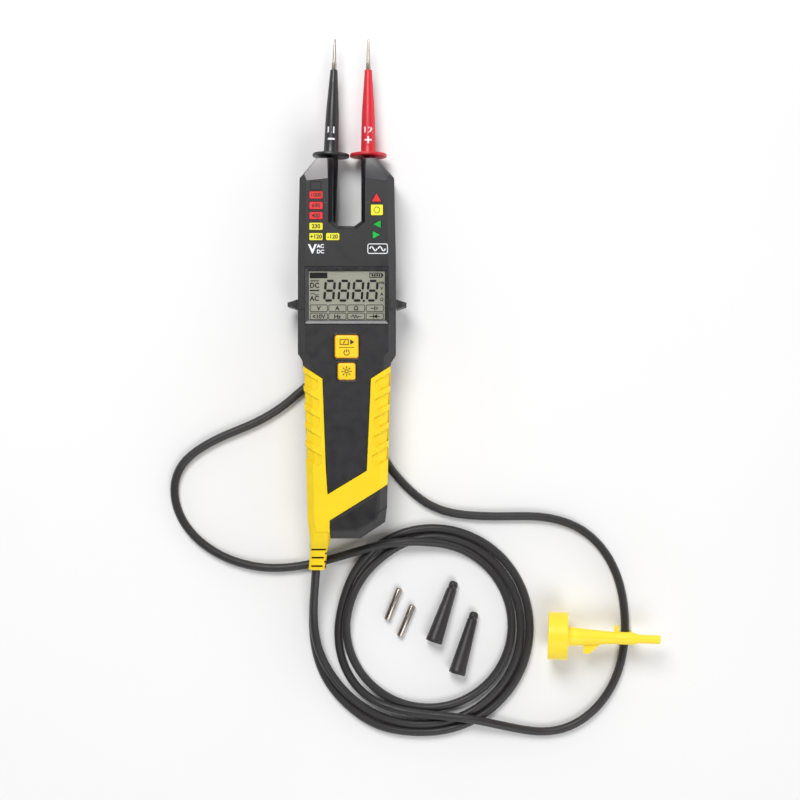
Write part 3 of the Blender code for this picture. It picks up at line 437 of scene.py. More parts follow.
def inset(outline, distances):
    """The outline with each edge, from point i to i + 1, moved inwards by its own distance."""
    lines = []
    for i, start in enumerate(outline):
        end = Vector(outline[(i + 1) % len(outline)])
        along = (end - Vector(start)).normalized()
        inward = Vector((-along.y, along.x))
        lines.append((Vector(start) + inward * distances[i], along))
    points = []
    for i, (q, v) in enumerate(lines):
        p, u = lines[i - 1]
        cross = u.x * v.y - u.y * v.x
        if abs(cross) < 1e-6:
            points.append((q.x, q.y))
            continue
        reach = ((q - p).x * v.y - (q - p).y * v.x) / cross
        points.append(tuple(p + u * reach))
    return points


def turned(profile, sides=64, hollow=False):
    """Turned about +Y from (y, radius) points. A hollow profile closes back on its first point."""
    bm = bmesh.new()
    rings = []
    for y, radius in profile:
        if radius == 0:
            rings.append([bm.verts.new((0, y, 0))] * sides)
            continue
        angles = [2 * math.pi * i / sides for i in range(sides)]
        rings.append([bm.verts.new((radius * math.cos(a), y, radius * math.sin(a))) for a in angles])
    pairs = list(zip(rings, rings[1:]))
    if hollow:
        pairs.append((rings[-1], rings[0]))
    for low, high in pairs:
        for i in range(sides):
            j = (i + 1) % sides
            corners = []
            for corner in (low[i], low[j], high[j], high[i]):
                if corner not in corners:
                    corners.append(corner)
            if len(corners) > 2:
                bm.faces.new(corners)
    return bm


def aim(bm, origin, direction):
    turn = Vector(direction).normalized().to_track_quat("Y", "Z").to_matrix().to_4x4()
    bmesh.ops.transform(bm, matrix=Matrix.Translation(origin) @ turn, verts=bm.verts)
    return bm


def raw(name, bm):
    bmesh.ops.recalc_face_normals(bm, faces=bm.faces)
    bmesh.ops.scale(bm, vec=(MM, MM, MM), verts=bm.verts)
    mesh = bpy.data.meshes.new(name)
    bm.to_mesh(mesh)
    bm.free()
    mesh.shade_smooth()
    made = bpy.data.objects.new(name, mesh)
    bpy.context.collection.objects.link(made)
    return made


def bake(made):
    """Turns the object's modifiers into its mesh."""
    graph = bpy.context.evaluated_depsgraph_get()
    mesh = bpy.data.meshes.new_from_object(made.evaluated_get(graph), depsgraph=graph)
    made.modifiers.clear()
    made.data = mesh


def edge_bevel(made, width, segments, angle):
    step = made.modifiers.new("edges", "BEVEL")
    step.width = width * MM
    step.segments = segments
    step.limit_method = "ANGLE"
    step.angle_limit = math.radians(angle)
    shade = made.modifiers.new("normals", "WEIGHTED_NORMAL")
    shade.weight = 100
    shade.keep_sharp = True


def finish_piece(made, look, body=BODY, replaces=()):
    made.data.materials.clear()
    made.data.materials.append(look)
    for face in made.data.polygons:
        face.material_index = 0
    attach(made, body)
    if replaces:
        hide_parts(*replaces)
    return made


def piece(name, bm, look, body=BODY, replaces=(), tools=(), bevel=0.0, segments=2, angle=30):
    """A piece from a bmesh in millimetres. tools are (operation, bmesh) for Booleans, before the bevel."""
    made = raw(name, bm)
    spare = []
    for operation, tool in tools:
        other = raw("tool", tool)
        spare.append(other)
        step = made.modifiers.new("step", "BOOLEAN")
        step.operation = operation
        step.solver = "EXACT"
        step.object = other
    if bevel:
        edge_bevel(made, bevel, segments, angle)
    bake(made)
    for other in spare:
        bpy.data.objects.remove(other, do_unlink=True)
    if not bevel:
        made.data.shade_smooth()
        made.data.set_sharp_from_angle(angle=math.radians(angle))
    return finish_piece(made, look, body, replaces)


def finer(source, look, body=BODY, tools=(), bevel=0.3, segments=2, angle=28):
    """A copy of a CAD node with its flat faces whole again and its edges rounded."""
    mesh = NODES[source].data.copy()
    made = bpy.data.objects.new(source + "_fine", mesh)
    bpy.context.collection.objects.link(made)
    for tool in tools:
        step = made.modifiers.new("step", "BOOLEAN")
        step.operation = "DIFFERENCE"
        step.solver = "EXACT"
        step.object = tool
    bake(made)
    mesh = made.data
    bm = bmesh.new()
    bm.from_mesh(mesh)
    bmesh.ops.remove_doubles(bm, verts=bm.verts, dist=2e-6)
    bmesh.ops.dissolve_limit(bm, angle_limit=math.radians(0.6), verts=bm.verts, edges=bm.edges)
    bm.to_mesh(mesh)
    bm.free()
    mesh.shade_smooth()
    edge_bevel(made, bevel, segments, angle)
    bake(made)
    for tool in tools:
        bpy.data.objects.remove(tool, do_unlink=True)
    return finish_piece(made, look, body, [source])


def repaint(source, look):
    mesh = NODES[source].data
    for i in range(max(1, len(NODES[source].material_slots))):
        if i < len(NODES[source].material_slots):
            NODES[source].material_slots[i].material = look
        else:
            mesh.materials.append(look)


def lettering(text, height, bold=0.06):
    """A generic sign as flat outlines, centred on the origin, in millimetres."""
    curve = bpy.data.curves.new("sign", "FONT")
    curve.body = text
    curve.size = height
    curve.align_x = "CENTER"
    curve.align_y = "CENTER"
    curve.extrude = 0.04
    curve.offset = bold
    curve.resolution_u = 3
    made = bpy.data.objects.new("sign", curve)
    bpy.context.collection.objects.link(made)
    graph = bpy.context.evaluated_depsgraph_get()
    mesh = bpy.data.meshes.new_from_object(made.evaluated_get(graph))
    bm = bmesh.new()
    bm.from_mesh(mesh)
    bpy.data.objects.remove(made, do_unlink=True)
    return bm


def merge(bm, other, x=0.0, y=0.0, z=0.0, turn=0.0):
    """Adds another bmesh to bm, turned about +Z by degrees and moved."""
    move = Matrix.Translation((x, y, z)) @ Matrix.Rotation(math.radians(turn), 4, "Z")
    bmesh.ops.transform(other, matrix=move, verts=other.verts)
    spare = bpy.data.meshes.new("spare")
    other.to_mesh(spare)
    other.free()
    bm.from_mesh(spare)
    bpy.data.meshes.remove(spare)


def bar(bm, start, end, width, z0, z1):
    """A straight stroke between two points in plan."""
    a, b = Vector(start), Vector(end)
    side = Vector((-(b - a).y, (b - a).x)).normalized() * width / 2
    outline = [tuple(p) for p in (a - side, b - side, b + side, a + side)]
    add_loft(bm, [(z0, outline), (z1, outline)])


def frame_outline(bm, outer, width, z0, z1):
    """A closed line of even width just inside an outline."""
    inner = inset(outer, [width] * len(outer))
    count = len(outer)
    rings = []
    for outline, z in ((outer, z0), (outer, z1), (inner, z1), (inner, z0)):
        rings.append([bm.verts.new((x, y, z)) for x, y in outline])
    for k in range(4):
        low, high = rings[k], rings[(k + 1) % 4]
        for i in range(count):
            j = (i + 1) % count
            bm.faces.new((low[i], low[j], high[j], high[i]))


def ring(bm, x, y, outer, inner, z0, z1, start=0.0, span=360.0, steps=32):
    """A flat ring, or part of one, from start over span degrees."""
    whole = span >= 360.0
    count = steps if whole else steps + 1
    rings = []
    for radius, z in ((outer, z0), (outer, z1), (inner, z1), (inner, z0)):
        row = []
        for i in range(count):
            angle = math.radians(start + span * i / steps)
            row.append(bm.verts.new((x + radius * math.cos(angle), y + radius * math.sin(angle), z)))
        rings.append(row)
    for k in range(4):
        low, high = rings[k], rings[(k + 1) % 4]
        for i in range(count if whole else count - 1):
            j = (i + 1) % count
            bm.faces.new((low[i], low[j], high[j], high[i]))
    if not whole:
        bm.faces.new([row[0] for row in rings])
        bm.faces.new([row[-1] for row in rings])


# ---------------------------------------------------------------- body outlines, as the CAD has them

HEAD_HALF, SHOULDER_HALF, SHOULDER_Y = 28.6, 27.6, 99.0
TOP_HALF, TOP_Y, BOTTOM_Y = 17.6, 110.7, -111.3
SLOT_HALF, SLOT_Y = 8.4, 71.0
CHAMFER, SLOT_EDGE, TOP_EDGE, CHAMFER_Z = 4.3, 2.3, 1.4, 27.5


def body_outline():
    """The silhouette from the front, anticlockwise from the bottom left. Edges 11 to 15 are the slot."""
    right = [(22.3, -101.7), (23.4, -93.2), (24.3, -53.7), (25.6, -10.7), (26.0, -6.7)]
    right += [(HEAD_HALF, -3.8), (HEAD_HALF, 50), (SHOULDER_HALF, SHOULDER_Y), (TOP_HALF, TOP_Y)]
    slot = [(SLOT_HALF, TOP_Y), (SLOT_HALF, SLOT_Y + 3), (4.5, SLOT_Y)]
    half = right + slot
    left = [(-x, y) for x, y in reversed(half[2:])]
    return [(-21.6, BOTTOM_Y), (8.0, BOTTOM_Y)] + half + left + [(-22.9, -100.2)]


def body_insets(side, slot, top):
    special = {i: slot for i in range(11, 16)}
    for i in (9, 10, 16, 17):
        special[i] = top
    return [special.get(i, side) for i in range(len(body_outline()))]


def front_loft(shrink, low):
    outline = body_outline()
    full = inset(outline, body_insets(shrink, shrink, shrink))
    top = inset(outline, body_insets(CHAMFER + shrink, SLOT_EDGE + shrink, TOP_EDGE + shrink))
    return loft([(low, full), (CHAMFER_Z, full), (FACE_Z - shrink, top)])


# ---------------------------------------------------------------- housing

POCKET_TOP, POCKET_PITCH, POCKET_DEPTH, POCKET_SLOPE = -19.5, 10.85, 1.0, 0.58


def make_housing():
    finer("front_shell", BLACK, bevel=0.35)
    finer("rear_shell", BLACK, bevel=0.4)
    finer("battery_cover", COVER_GREY, "battery_cover", bevel=0.35)
    finer("grip_overmould", YELLOW, tools=[grip_pockets()], bevel=0.16)
    for side in ("left", "right"):
        finer(f"finger_guard_{side}", BLACK, bevel=0.5, segments=3)


def pocket_outline(side, number):
    """One grip pocket in plan: its ends fall towards the middle, and its inner corner is clipped."""
    inner = 16.7 - 0.5 * number
    y = POCKET_TOP - POCKET_PITCH * number
    out = 31.0
    points = [(inner, y), (inner, y - 4.1), (inner + 1.8, y - 6.3)]
    points += [(out, y - 6.3 + POCKET_SLOPE * (out - inner - 1.8)), (out, y + POCKET_SLOPE * (out - inner))]
    if side < 0:
        return [(-x, y) for x, y in points]
    return list(reversed(points))


def grip_pockets():
    """The pockets' cutter: prisms from a little under the surface to well over it."""
    bm = bmesh.new()
    for side in (-1, 1):
        for number in range(5):
            outline = pocket_outline(side, number)
            add_loft(bm, [(17.5, outline), (36.0, outline)])
    made = raw("pockets", bm)
    other = raw("floor", front_loft(POCKET_DEPTH, 14.0))
    step = made.modifiers.new("step", "BOOLEAN")
    step.operation = "DIFFERENCE"
    step.solver = "EXACT"
    step.object = other
    bake(made)
    bpy.data.objects.remove(other, do_unlink=True)
    return made


def make_cover_panel():
    """The raised panel on the battery cover's face, with a step round it."""
    outline = [(-9.6, -105.6), (6.2, -105.6), (17.0, -99.0), (17.5, -85.4), (-9.6, -101.8)]
    rim = inset(outline, [0.35] * len(outline))
    piece("cover_panel", loft([(31.8, outline), (32.3, outline), (32.5, rim)]), BLACK_SOFT,
          "battery_cover", bevel=0.15)


def make_cover_seam():
    """The joint between the cover and the end facet, over the right chamfer."""
    bm = bmesh.new()
    bar(bm, (17.4, -96.6), (24.6, -91.9), 0.5, 20.0, 36.0)
    piece("cover_seam", bm, MARK_AND_SHADE_GREY, "battery_cover",
          tools=[("INTERSECT", front_loft(-0.06, 17.0))])


PATCH = [(-17.2, 110.0), (-11.3, 110.0), (-11.0, 98.4), (-23.2, 97.1), (-24.6, 100.7)]


def make_prong_patches():
    """The silver-grey ink patches: the light one on the left prong is painted highlight, the darker one on
    the right is painted shade.
    """
    for name, side, look in (("left", 1, PATCH_INK_HIGHLIT), ("right", -1, PATCH_INK_SHADED_AND_MARKS)):
        outline = [(side * x, y) for x, y in PATCH]
        if side > 0:
            outline.reverse()
        rim = inset(outline, [0.12] * len(outline))
        piece(f"prong_patch_{name}", loft([(31.9, outline), (32.08, outline), (32.14, rim)]), look)


def make_face_marks():
    bm = bmesh.new()
    frame_outline(bm, rounded(-17.9, 94.0, 6.4, 5.4, 0.7), 0.45, 31.9, 32.15)
    piece("prong_frame", bm, MARK_AND_SHADE_GREY)
    bm = bmesh.new()
    for x in (-12.1, 12.1):
        outline = rectangle(x - 1.3, x + 1.3, 83.9, 84.25)
        add_loft(bm, [(31.9, outline), (32.06, outline)])
    piece("prong_marks", bm, PATCH_INK_SHADED_AND_MARKS)
    bm = bmesh.new()
    frame_outline(bm, rounded(18.0, 57.4, 11.9, 6.0, 1.3), 0.5, 31.9, 32.1)
    merge(bm, lettering("V", 7.4, 0.22), -19.9, 57.0, 32.06)
    merge(bm, lettering("AC", 3.0, 0.1), -15.2, 58.8, 32.06)
    merge(bm, lettering("DC", 3.0, 0.1), -15.2, 55.6, 32.06)
    for x in (15.6, 20.4):
        wave = [(x - 2.1 + 0.35 * i, 57.4 + 1.25 * math.sin(math.radians(30 * i))) for i in range(13)]
        for a, b in zip(wave, wave[1:]):
            bar(bm, a, b, 0.75, 31.9, 32.1)
    piece("face_print", bm, PRINT_WHITE)


# ---------------------------------------------------------------- keys

MODE_KEY = (0.0, 0.5, 14.0, 13.7)
LIGHT_KEY = (0.0, -13.9, 10.6, 10.2)


def make_key(name, key):
    """An orange skirt with a yellow crown, in a raised surround."""
    x, y, width, height = key
    levels = []
    for z, less, radius in ((28.2, 0.0, 1.5), (32.5, 0.0, 1.5), (32.85, 0.12, 1.5), (33.05, 0.4, 1.4)):
        levels.append((z, rounded(x, y, width - 2 * less, height - 2 * less, radius, 8)))
    piece(name + "_skirt", loft(levels), KEY_EDGE, name, [name], angle=50)
    levels = []
    for z, less, radius in ((32.8, 0.35, 1.4), (33.1, 0.45, 1.4), (33.3, 0.7, 1.3), (33.42, 1.1, 1.2),
                            (33.46, 1.7, 1.0), (33.41, 3.2, 0.8)):
        levels.append((z, rounded(x, y, width - 2 * less, height - 2 * less, radius, 8)))
    piece(name + "_crown", loft(levels), KEY_YELLOW, name, angle=50)
    bm = bmesh.new()
    frame_outline(bm, rounded(x, y, width + 2.4, height + 2.4, 2.5, 8), 1.0, 31.6, 32.4)
    piece(name + "_surround", bm, BEZEL, bevel=0.34, segments=3)


def make_keys():
    make_key("mode_button", MODE_KEY)
    make_key("light_button", LIGHT_KEY)
    low, high = 33.3, 33.5
    bm = bmesh.new()
    frame_outline(bm, rounded(-1.35, 3.2, 5.2, 3.4, 0.3, 3), 0.42, low, high)
    bar(bm, (-1.9, 2.2), (-0.7, 4.2), 0.4, low, high)
    play = [(2.1, 1.6), (4.5, 3.1), (2.1, 4.6)]
    add_loft(bm, [(low, play), (high, play)])
    bar(bm, (-4.3, 0.0), (4.4, 0.0), 0.3, low, high)
    ring(bm, 0.0, -3.0, 1.75, 1.3, low, high, 120.0, 300.0)
    bar(bm, (0.0, -2.8), (0.0, -1.0), 0.45, low, high)
    piece("mode_button_sign", bm, PRINT_DARK, "mode_button")
    bm = bmesh.new()
    x, y = LIGHT_KEY[:2]
    ring(bm, x, y, 1.2, 0.7, low, high)
    for i in range(8):
        angle = math.radians(45 * i)
        c, s = math.cos(angle), math.sin(angle)
        bar(bm, (x + 1.7 * c, y + 1.7 * s), (x + 3.0 * c, y + 3.0 * s), 0.5, low, high)
    piece("light_button_sign", bm, PRINT_DARK, "light_button")


# ---------------------------------------------------------------- display

PANEL_Z = 29.4
DIGIT_X, DIGIT_PITCH, DIGIT_Y = -13.6, 8.3, 26.9
DIGIT_W, DIGIT_H, DIGIT_LEAN = 6.0, 12.5, 0.09


def segment(bm, a, b, z0, z1, width=1.45):
    """A display segment with slanted ends, short of both corners."""
    a, b = Vector(a), Vector(b)
    along = (b - a).normalized()
    side = Vector((-along.y, along.x)) * width / 2
    a, b = a + along * 0.5, b - along * 0.5
    tip = along * width * 0.4
    outline = [a, a + tip - side, b - tip - side, b, b - tip + side, a + tip + side]
    outline = [tuple(p) for p in outline]
    add_loft(bm, [(z0, outline), (z1, outline)])


def slab(bm, outline, z0, z1):
    add_loft(bm, [(z0, outline), (z1, outline)])


def make_digits(bm, z0, z1):
    half = DIGIT_H / 2
    for number in range(4):
        x = DIGIT_X + DIGIT_PITCH * number
        rows = []
        for v in (0.55, half, DIGIT_H - 0.55):
            lean = v * DIGIT_LEAN
            rows.append(((x + 0.4 + lean, DIGIT_Y + v), (x + DIGIT_W - 0.4 + lean, DIGIT_Y + v)))
        for left, right in rows:
            segment(bm, left, right, z0, z1)
        for (a, b), (c, d) in zip(rows, rows[1:]):
            segment(bm, a, c, z0, z1)
            segment(bm, b, d, z0, z1)
    slab(bm, rounded(9.9, 27.2, 1.4, 1.4, 0.6, 3), z0, z1)


def make_display_boxes(bm, z0, z1):
    """The two rows of function boxes under the digits."""
    for column in range(4):
        x = -16.3 + 10.87 * column
        for y in (22.95, 18.2):
            frame_outline(bm, rounded(x, y, 10.4, 4.2, 0.9, 4), 0.36, z0, z1)
    for text, x, y, size in (("V", -16.3, 22.8, 3.5), ("A", -5.5, 22.8, 3.5), ("Ω", 5.4, 22.8, 3.5),
                             ("<10V", -16.3, 18.0, 3.4), ("Hz", -5.5, 18.0, 3.4)):
        merge(bm, lettering(text, size, 0.1), x, y, z0 + 0.06)
    bar(bm, (14.0, 22.9), (16.2, 22.9), 0.45, z0, z1)
    for i in range(3):
        x = 16.3 + 0.85 * i
        bar(bm, (x, 21.6 + 0.4 * i), (x, 24.2 - 0.4 * i), 0.45, z0, z1)
    zigzag = [(2.2, 18.2), (3.2, 18.2), (3.7, 19.2), (4.5, 17.2), (5.3, 19.2), (6.1, 17.2), (6.6, 18.2),
              (8.4, 18.2)]
    for a, b in zip(zigzag, zigzag[1:]):
        bar(bm, a, b, 0.42, z0, z1)
    bar(bm, (13.2, 18.2), (19.4, 18.2), 0.45, z0, z1)
    bar(bm, (15.5, 16.9), (15.5, 19.5), 0.5, z0, z1)
    slab(bm, [(15.6, 18.2), (17.7, 16.9), (17.7, 19.5)], z0, z1)


def make_display_signs(bm, z0, z1):
    """The box and battery along the top, and the signs left and right of the digits."""
    slab(bm, rectangle(-21.6, -11.3, 40.4, 43.7), z0, z1)
    frame_outline(bm, rectangle(13.2, 20.5, 40.6, 43.6), 0.45, z0, z1)
    slab(bm, rectangle(20.4, 21.2, 41.3, 42.9), z0, z1)
    for i in range(4):
        left = 14.5 + 1.35 * i
        slab(bm, rectangle(left, left + 0.95, 41.4, 42.8), z0, z1)
    merge(bm, lettering("DC", 3.9, 0.12), -18.8, 36.1, z0 + 0.06)
    merge(bm, lettering("AC", 3.9, 0.12), -18.8, 28.5, z0 + 0.06)
    for i in range(3):
        bar(bm, (-21.0 + 1.7 * i, 38.3), (-19.9 + 1.7 * i, 38.3), 0.4, z0, z1)
    bar(bm, (-21.2, 39.2), (-16.2, 39.2), 0.4, z0, z1)
    bar(bm, (-21.6, 33.3), (-16.0, 33.3), 0.8, z0, z1)
    wave = [(-21.0 + 0.38 * i, 31.1 + 0.55 * math.sin(math.radians(30 * i))) for i in range(13)]
    for a, b in zip(wave, wave[1:]):
        bar(bm, a, b, 0.4, z0, z1)
    for text, y in (("Hz", 37.8), ("V", 34.4), ("A", 31.1), ("Ω", 27.9)):
        merge(bm, lettering(text, 2.5, 0.08), 20.4, y, z0 + 0.06)


def make_display():
    piece("display_glass", loft([(PANEL_Z - 1.7, rectangle(-22.2, 22.2, 15.9, 44.6)),
                                 (PANEL_Z, rectangle(-22.2, 22.2, 15.9, 44.6))]), LCD,
          replaces=["lcd_panel"], bevel=0.1)
    z0, z1 = PANEL_Z - 0.05, PANEL_Z + 0.1
    bm = bmesh.new()
    make_digits(bm, z0, z1)
    make_display_boxes(bm, z0, z1)
    make_display_signs(bm, z0, z1)
    piece("display_segments", bm, SEGMENT)
    outer = loft([(30.25, rectangle(-23.8, 23.8, 14.3, 46.2)), (31.0, rectangle(-23.8, 23.8, 14.3, 46.2)),
                  (31.96, rectangle(-24.4, 24.4, 13.75, 46.75))])
    hollow = loft([(29.0, rectangle(-22.35, 22.35, 15.9, 44.65)),
                   (30.3, rectangle(-22.35, 22.35, 15.9, 44.65)),
                   (32.0, rectangle(-24.05, 24.05, 14.1, 46.15)),
                   (32.5, rectangle(-24.05, 24.05, 14.1, 46.15))])
    piece("display_bezel", outer, BEZEL, tools=[("DIFFERENCE", hollow)], bevel=0.15)
    # The opening's lower lip, painted light grey as a highlight.
    lip = loft([(30.4, rectangle(-23.4, 23.4, 13.9, 15.75)), (30.6, rectangle(-23.4, 23.4, 13.9, 15.6)),
                (32.05, rectangle(-24.0, 24.0, 13.9, 14.3))])
    piece("display_lip_highlight", lip, LIP_HIGHLIGHT, bevel=0.2)
    piece("display_window", loft([(29.75, rectangle(-22.2, 22.2, 16.0, 44.55)),
                                  (30.1, rectangle(-22.2, 22.2, 16.0, 44.55))]), CLEAR,
          replaces=["lcd_window"])


# ---------------------------------------------------------------- indicator windows

WINDOW_ROWS = ((88.6, "1000", "red"), (82.5, "690", "red"), (76.6, "400", "red"), (70.4, "230", "yellow"),
               (64.4, "+120", "yellow"))


def triangle(x, y, width, height, heading):
    turn = Matrix.Rotation(math.radians(heading), 2)
    corners = [(height / 2, 0), (-height / 2, width / 2), (-height / 2, -width / 2)]
    return [tuple(Vector((x, y)) + turn @ Vector(corner)) for corner in corners]


def make_window(name, outline, look, side):
    rim = inset(outline, [0.22] * len(outline))
    levels = [(29.9, outline), (31.95, outline), (32.12, rim)]
    # A near-black ring just round the window: painted shade of the recess round the lens.
    edge = inset(outline, [-0.32] * len(outline))
    bm = bmesh.new()
    frame_outline(bm, edge, 0.3, 31.6, 32.04)
    piece(f"indicator_shade_rim_{name}", bm, MARK_AND_SHADE_GREY)
    piece(f"indicator_{name}", loft(levels), look, replaces=[f"indicator_lens_{side}"],
          angle=25)


def make_indicators():
    looks = {"red": LAMP_RED, "yellow": LAMP_YELLOW}
    signs = bmesh.new()
    for i, (y, text, look) in enumerate(WINDOW_ROWS):
        make_window(f"left_{i + 1}", rounded(-17.8, y, 7.8, 4.2, 0.7, 4), looks[look], "left")
        merge(signs, lettering(text, 3.3, 0.1), -17.8, y - 0.1, 32.14)
    make_window("left_6", rounded(-8.1, 64.4, 7.8, 4.2, 0.7, 4), LAMP_YELLOW, "left")
    merge(signs, lettering("-120", 3.3, 0.1), -8.1, 64.3, 32.14)
    make_window("right_1", triangle(17.3, 87.2, 5.4, 4.9, 90), LAMP_RED, "right")
    make_window("right_2", rounded(17.6, 79.9, 7.0, 6.2, 0.6, 4), LAMP_YELLOW, "right")
    make_window("right_3", triangle(17.6, 71.6, 4.6, 4.4, 180), LAMP_GREEN, "right")
    make_window("right_4", triangle(17.3, 65.4, 4.6, 4.4, 0), LAMP_GREEN, "right")
    ring(signs, 17.6, 79.9, 1.9, 1.55, 32.08, 32.16)
    piece("indicator_signs", signs, PRINT_DARK)


# ---------------------------------------------------------------- probes

GUARD_R, GUARD_T, CONE_END, PIN_END, PIN_R = 10.95, 2.2, 52.0, 69.5, 1.1
HANDLE_R, NECK_R, HANDLE_END = 5.5, 4.5, -128.0


def cone_profile():
    """The guard disc with a round rim, then the barrel that narrows to the pin's bore."""
    rim = [(0.0, GUARD_R - 0.9), (0.1, GUARD_R - 0.45), (0.4, GUARD_R - 0.1), (0.8, GUARD_R),
           (1.5, GUARD_R)]
    rim += [(1.9, GUARD_R - 0.15), (2.15, GUARD_R - 0.5), (GUARD_T, GUARD_R - 0.95)]
    barrel = [(GUARD_T, 5.3), (GUARD_T + 0.3, 4.8), (3.4, 4.45), (8.0, 4.3), (16.0, 4.15), (22.0, 4.0),
              (27.0, 3.8), (30.0, 3.62), (33.0, 3.42), (42.0, 2.78), (CONE_END - 0.7, 2.18),
              (CONE_END - 0.25, 2.08), (CONE_END, 1.85), (CONE_END, PIN_R + 0.25),
              (CONE_END - 14.0, PIN_R + 0.25), (CONE_END - 14.0, 0)]
    return rim + barrel


def pin_profile():
    base = CONE_END - 13.5
    return [(base, 0), (base, PIN_R), (CONE_END + 0.3, PIN_R), (CONE_END + 0.35, 1.35),
            (CONE_END + 0.6, 1.42), (CONE_END + 3.9, 1.42), (CONE_END + 4.1, 1.3), (CONE_END + 4.2, 1.15),
            (PIN_END - 10.0, 1.0), (PIN_END - 4.0, 0.76), (PIN_END, 0.56), (PIN_END + 0.8, 0.4),
            (PIN_END + 1.0, 0.2), (PIN_END + 1.0, 0)]


def cone_radius(t):
    knots = ((2.2, 4.6), (8.0, 4.3), (16.0, 4.15), (27.0, 3.8))
    for (t0, r0), (t1, r1) in zip(knots, knots[1:]):
        if t <= t1:
            return r0 + (r1 - r0) * (t - t0) / (t1 - t0)
    return knots[-1][1]


def wrapped_bar(bm, u0, u1, t0, t1):
    """A thin plate that wraps the barrel: u across, t along, in the probe's frame."""
    columns, rows = 8, 4
    grids = []
    for lift in (-0.15, 0.07):
        grid = []
        for i in range(columns + 1):
            u = u0 + (u1 - u0) * i / columns
            row = []
            for j in range(rows + 1):
                t = t0 + (t1 - t0) * j / rows
                r = cone_radius(t) + lift
                row.append(bm.verts.new((u, t, math.sqrt(r * r - u * u))))
            grid.append(row)
        grids.append(grid)
    low, high = grids
    for i in range(columns):
        for j in range(rows):
            bm.faces.new((high[i][j], high[i + 1][j], high[i + 1][j + 1], high[i][j + 1]))
            bm.faces.new((low[i][j], low[i][j + 1], low[i + 1][j + 1], low[i + 1][j]))
    for i in range(columns):
        bm.faces.new((low[i][0], low[i + 1][0], high[i + 1][0], high[i][0]))
        bm.faces.new((low[i][rows], high[i][rows], high[i + 1][rows], low[i + 1][rows]))
    for j in range(rows):
        bm.faces.new((low[0][j], high[0][j], high[0][j + 1], low[0][j + 1]))
        bm.faces.new((low[columns][j], low[columns][j + 1], high[columns][j + 1], high[columns][j]))


def wrapped_sign(bm, text, t):
    """A generic pole mark bent onto the barrel, centred at t."""
    other = lettering(text, 5.2, 0.14)
    for corner in other.verts:
        x, y, z = corner.co
        r = cone_radius(t + y)
        corner.co = (x, t + y, math.sqrt(r * r - x * x) + z)
    merge(bm, other)


def make_probes():
    red_at = (RED_X, GUARD_Y, PROBE_Z)
    black_at = probe_frame(0)
    lean = (math.sin(BLACK_LEAN), math.cos(BLACK_LEAN), 0.0)
    stem = [(-30.0, 0), (-30.0, 2.2), (-29.6, 2.6), (0.0, 2.6)]
    piece("red_probe", aim(turned(stem + cone_profile()), red_at, (0, 1, 0)), RED,
          replaces=["red_probe_body"])
    piece("red_pin", aim(turned(pin_profile(), 32), red_at, (0, 1, 0)), NICKEL,
          replaces=["red_probe_pin"])
    handle = [(HANDLE_END, 0), (HANDLE_END, HANDLE_R - 0.9), (HANDLE_END + 0.3, HANDLE_R - 0.3),
              (HANDLE_END + 0.9, HANDLE_R)]
    for rib in range(6):
        y = -120.0 + rib * 3.0
        handle += [(y, HANDLE_R), (y + 0.3, HANDLE_R - 0.45), (y + 1.2, HANDLE_R - 0.45),
                   (y + 1.5, HANDLE_R)]
    handle += [(-70.0, HANDLE_R), (-68.5, HANDLE_R - 0.2), (-65.5, NECK_R + 0.2), (-64.0, NECK_R),
               (0.0, NECK_R)]
    piece("black_probe", aim(turned(handle + cone_profile()), black_at, lean), PROBE_BLACK,
          "hand_probe", ["black_probe_body"])
    piece("black_pin", aim(turned(pin_profile(), 32), black_at, lean), NICKEL, "hand_probe",
          ["black_probe_pin"])
    bm = bmesh.new()
    wrapped_bar(bm, -2.05, 2.05, 9.9, 11.0)
    wrapped_sign(bm, "L1", 15.6)
    piece("minus_sign", aim(bm, black_at, lean), PRINT_WHITE, "hand_probe")
    bm = bmesh.new()
    wrapped_bar(bm, -2.1, 2.1, 9.4, 10.35)
    wrapped_bar(bm, -0.5, 0.5, 7.8, 12.0)
    wrapped_sign(bm, "L2", 15.6)
    piece("plus_sign", aim(bm, red_at, (0, 1, 0)), PRINT_WHITE)


# ---------------------------------------------------------------- cable boot

BOOT_TOP = BOTTOM_Y - 0.3


def boot_ring(bm, y, x, z, half_x, half_z, power, sides=48):
    row = []
    for i in range(sides):
        angle = 2 * math.pi * i / sides
        c, s = math.cos(angle), math.sin(angle)
        reach = (abs(c) ** power + abs(s) ** power) ** (-1 / power)
        row.append(bm.verts.new((x + half_x * reach * c, y, z + half_z * reach * s)))
    return row


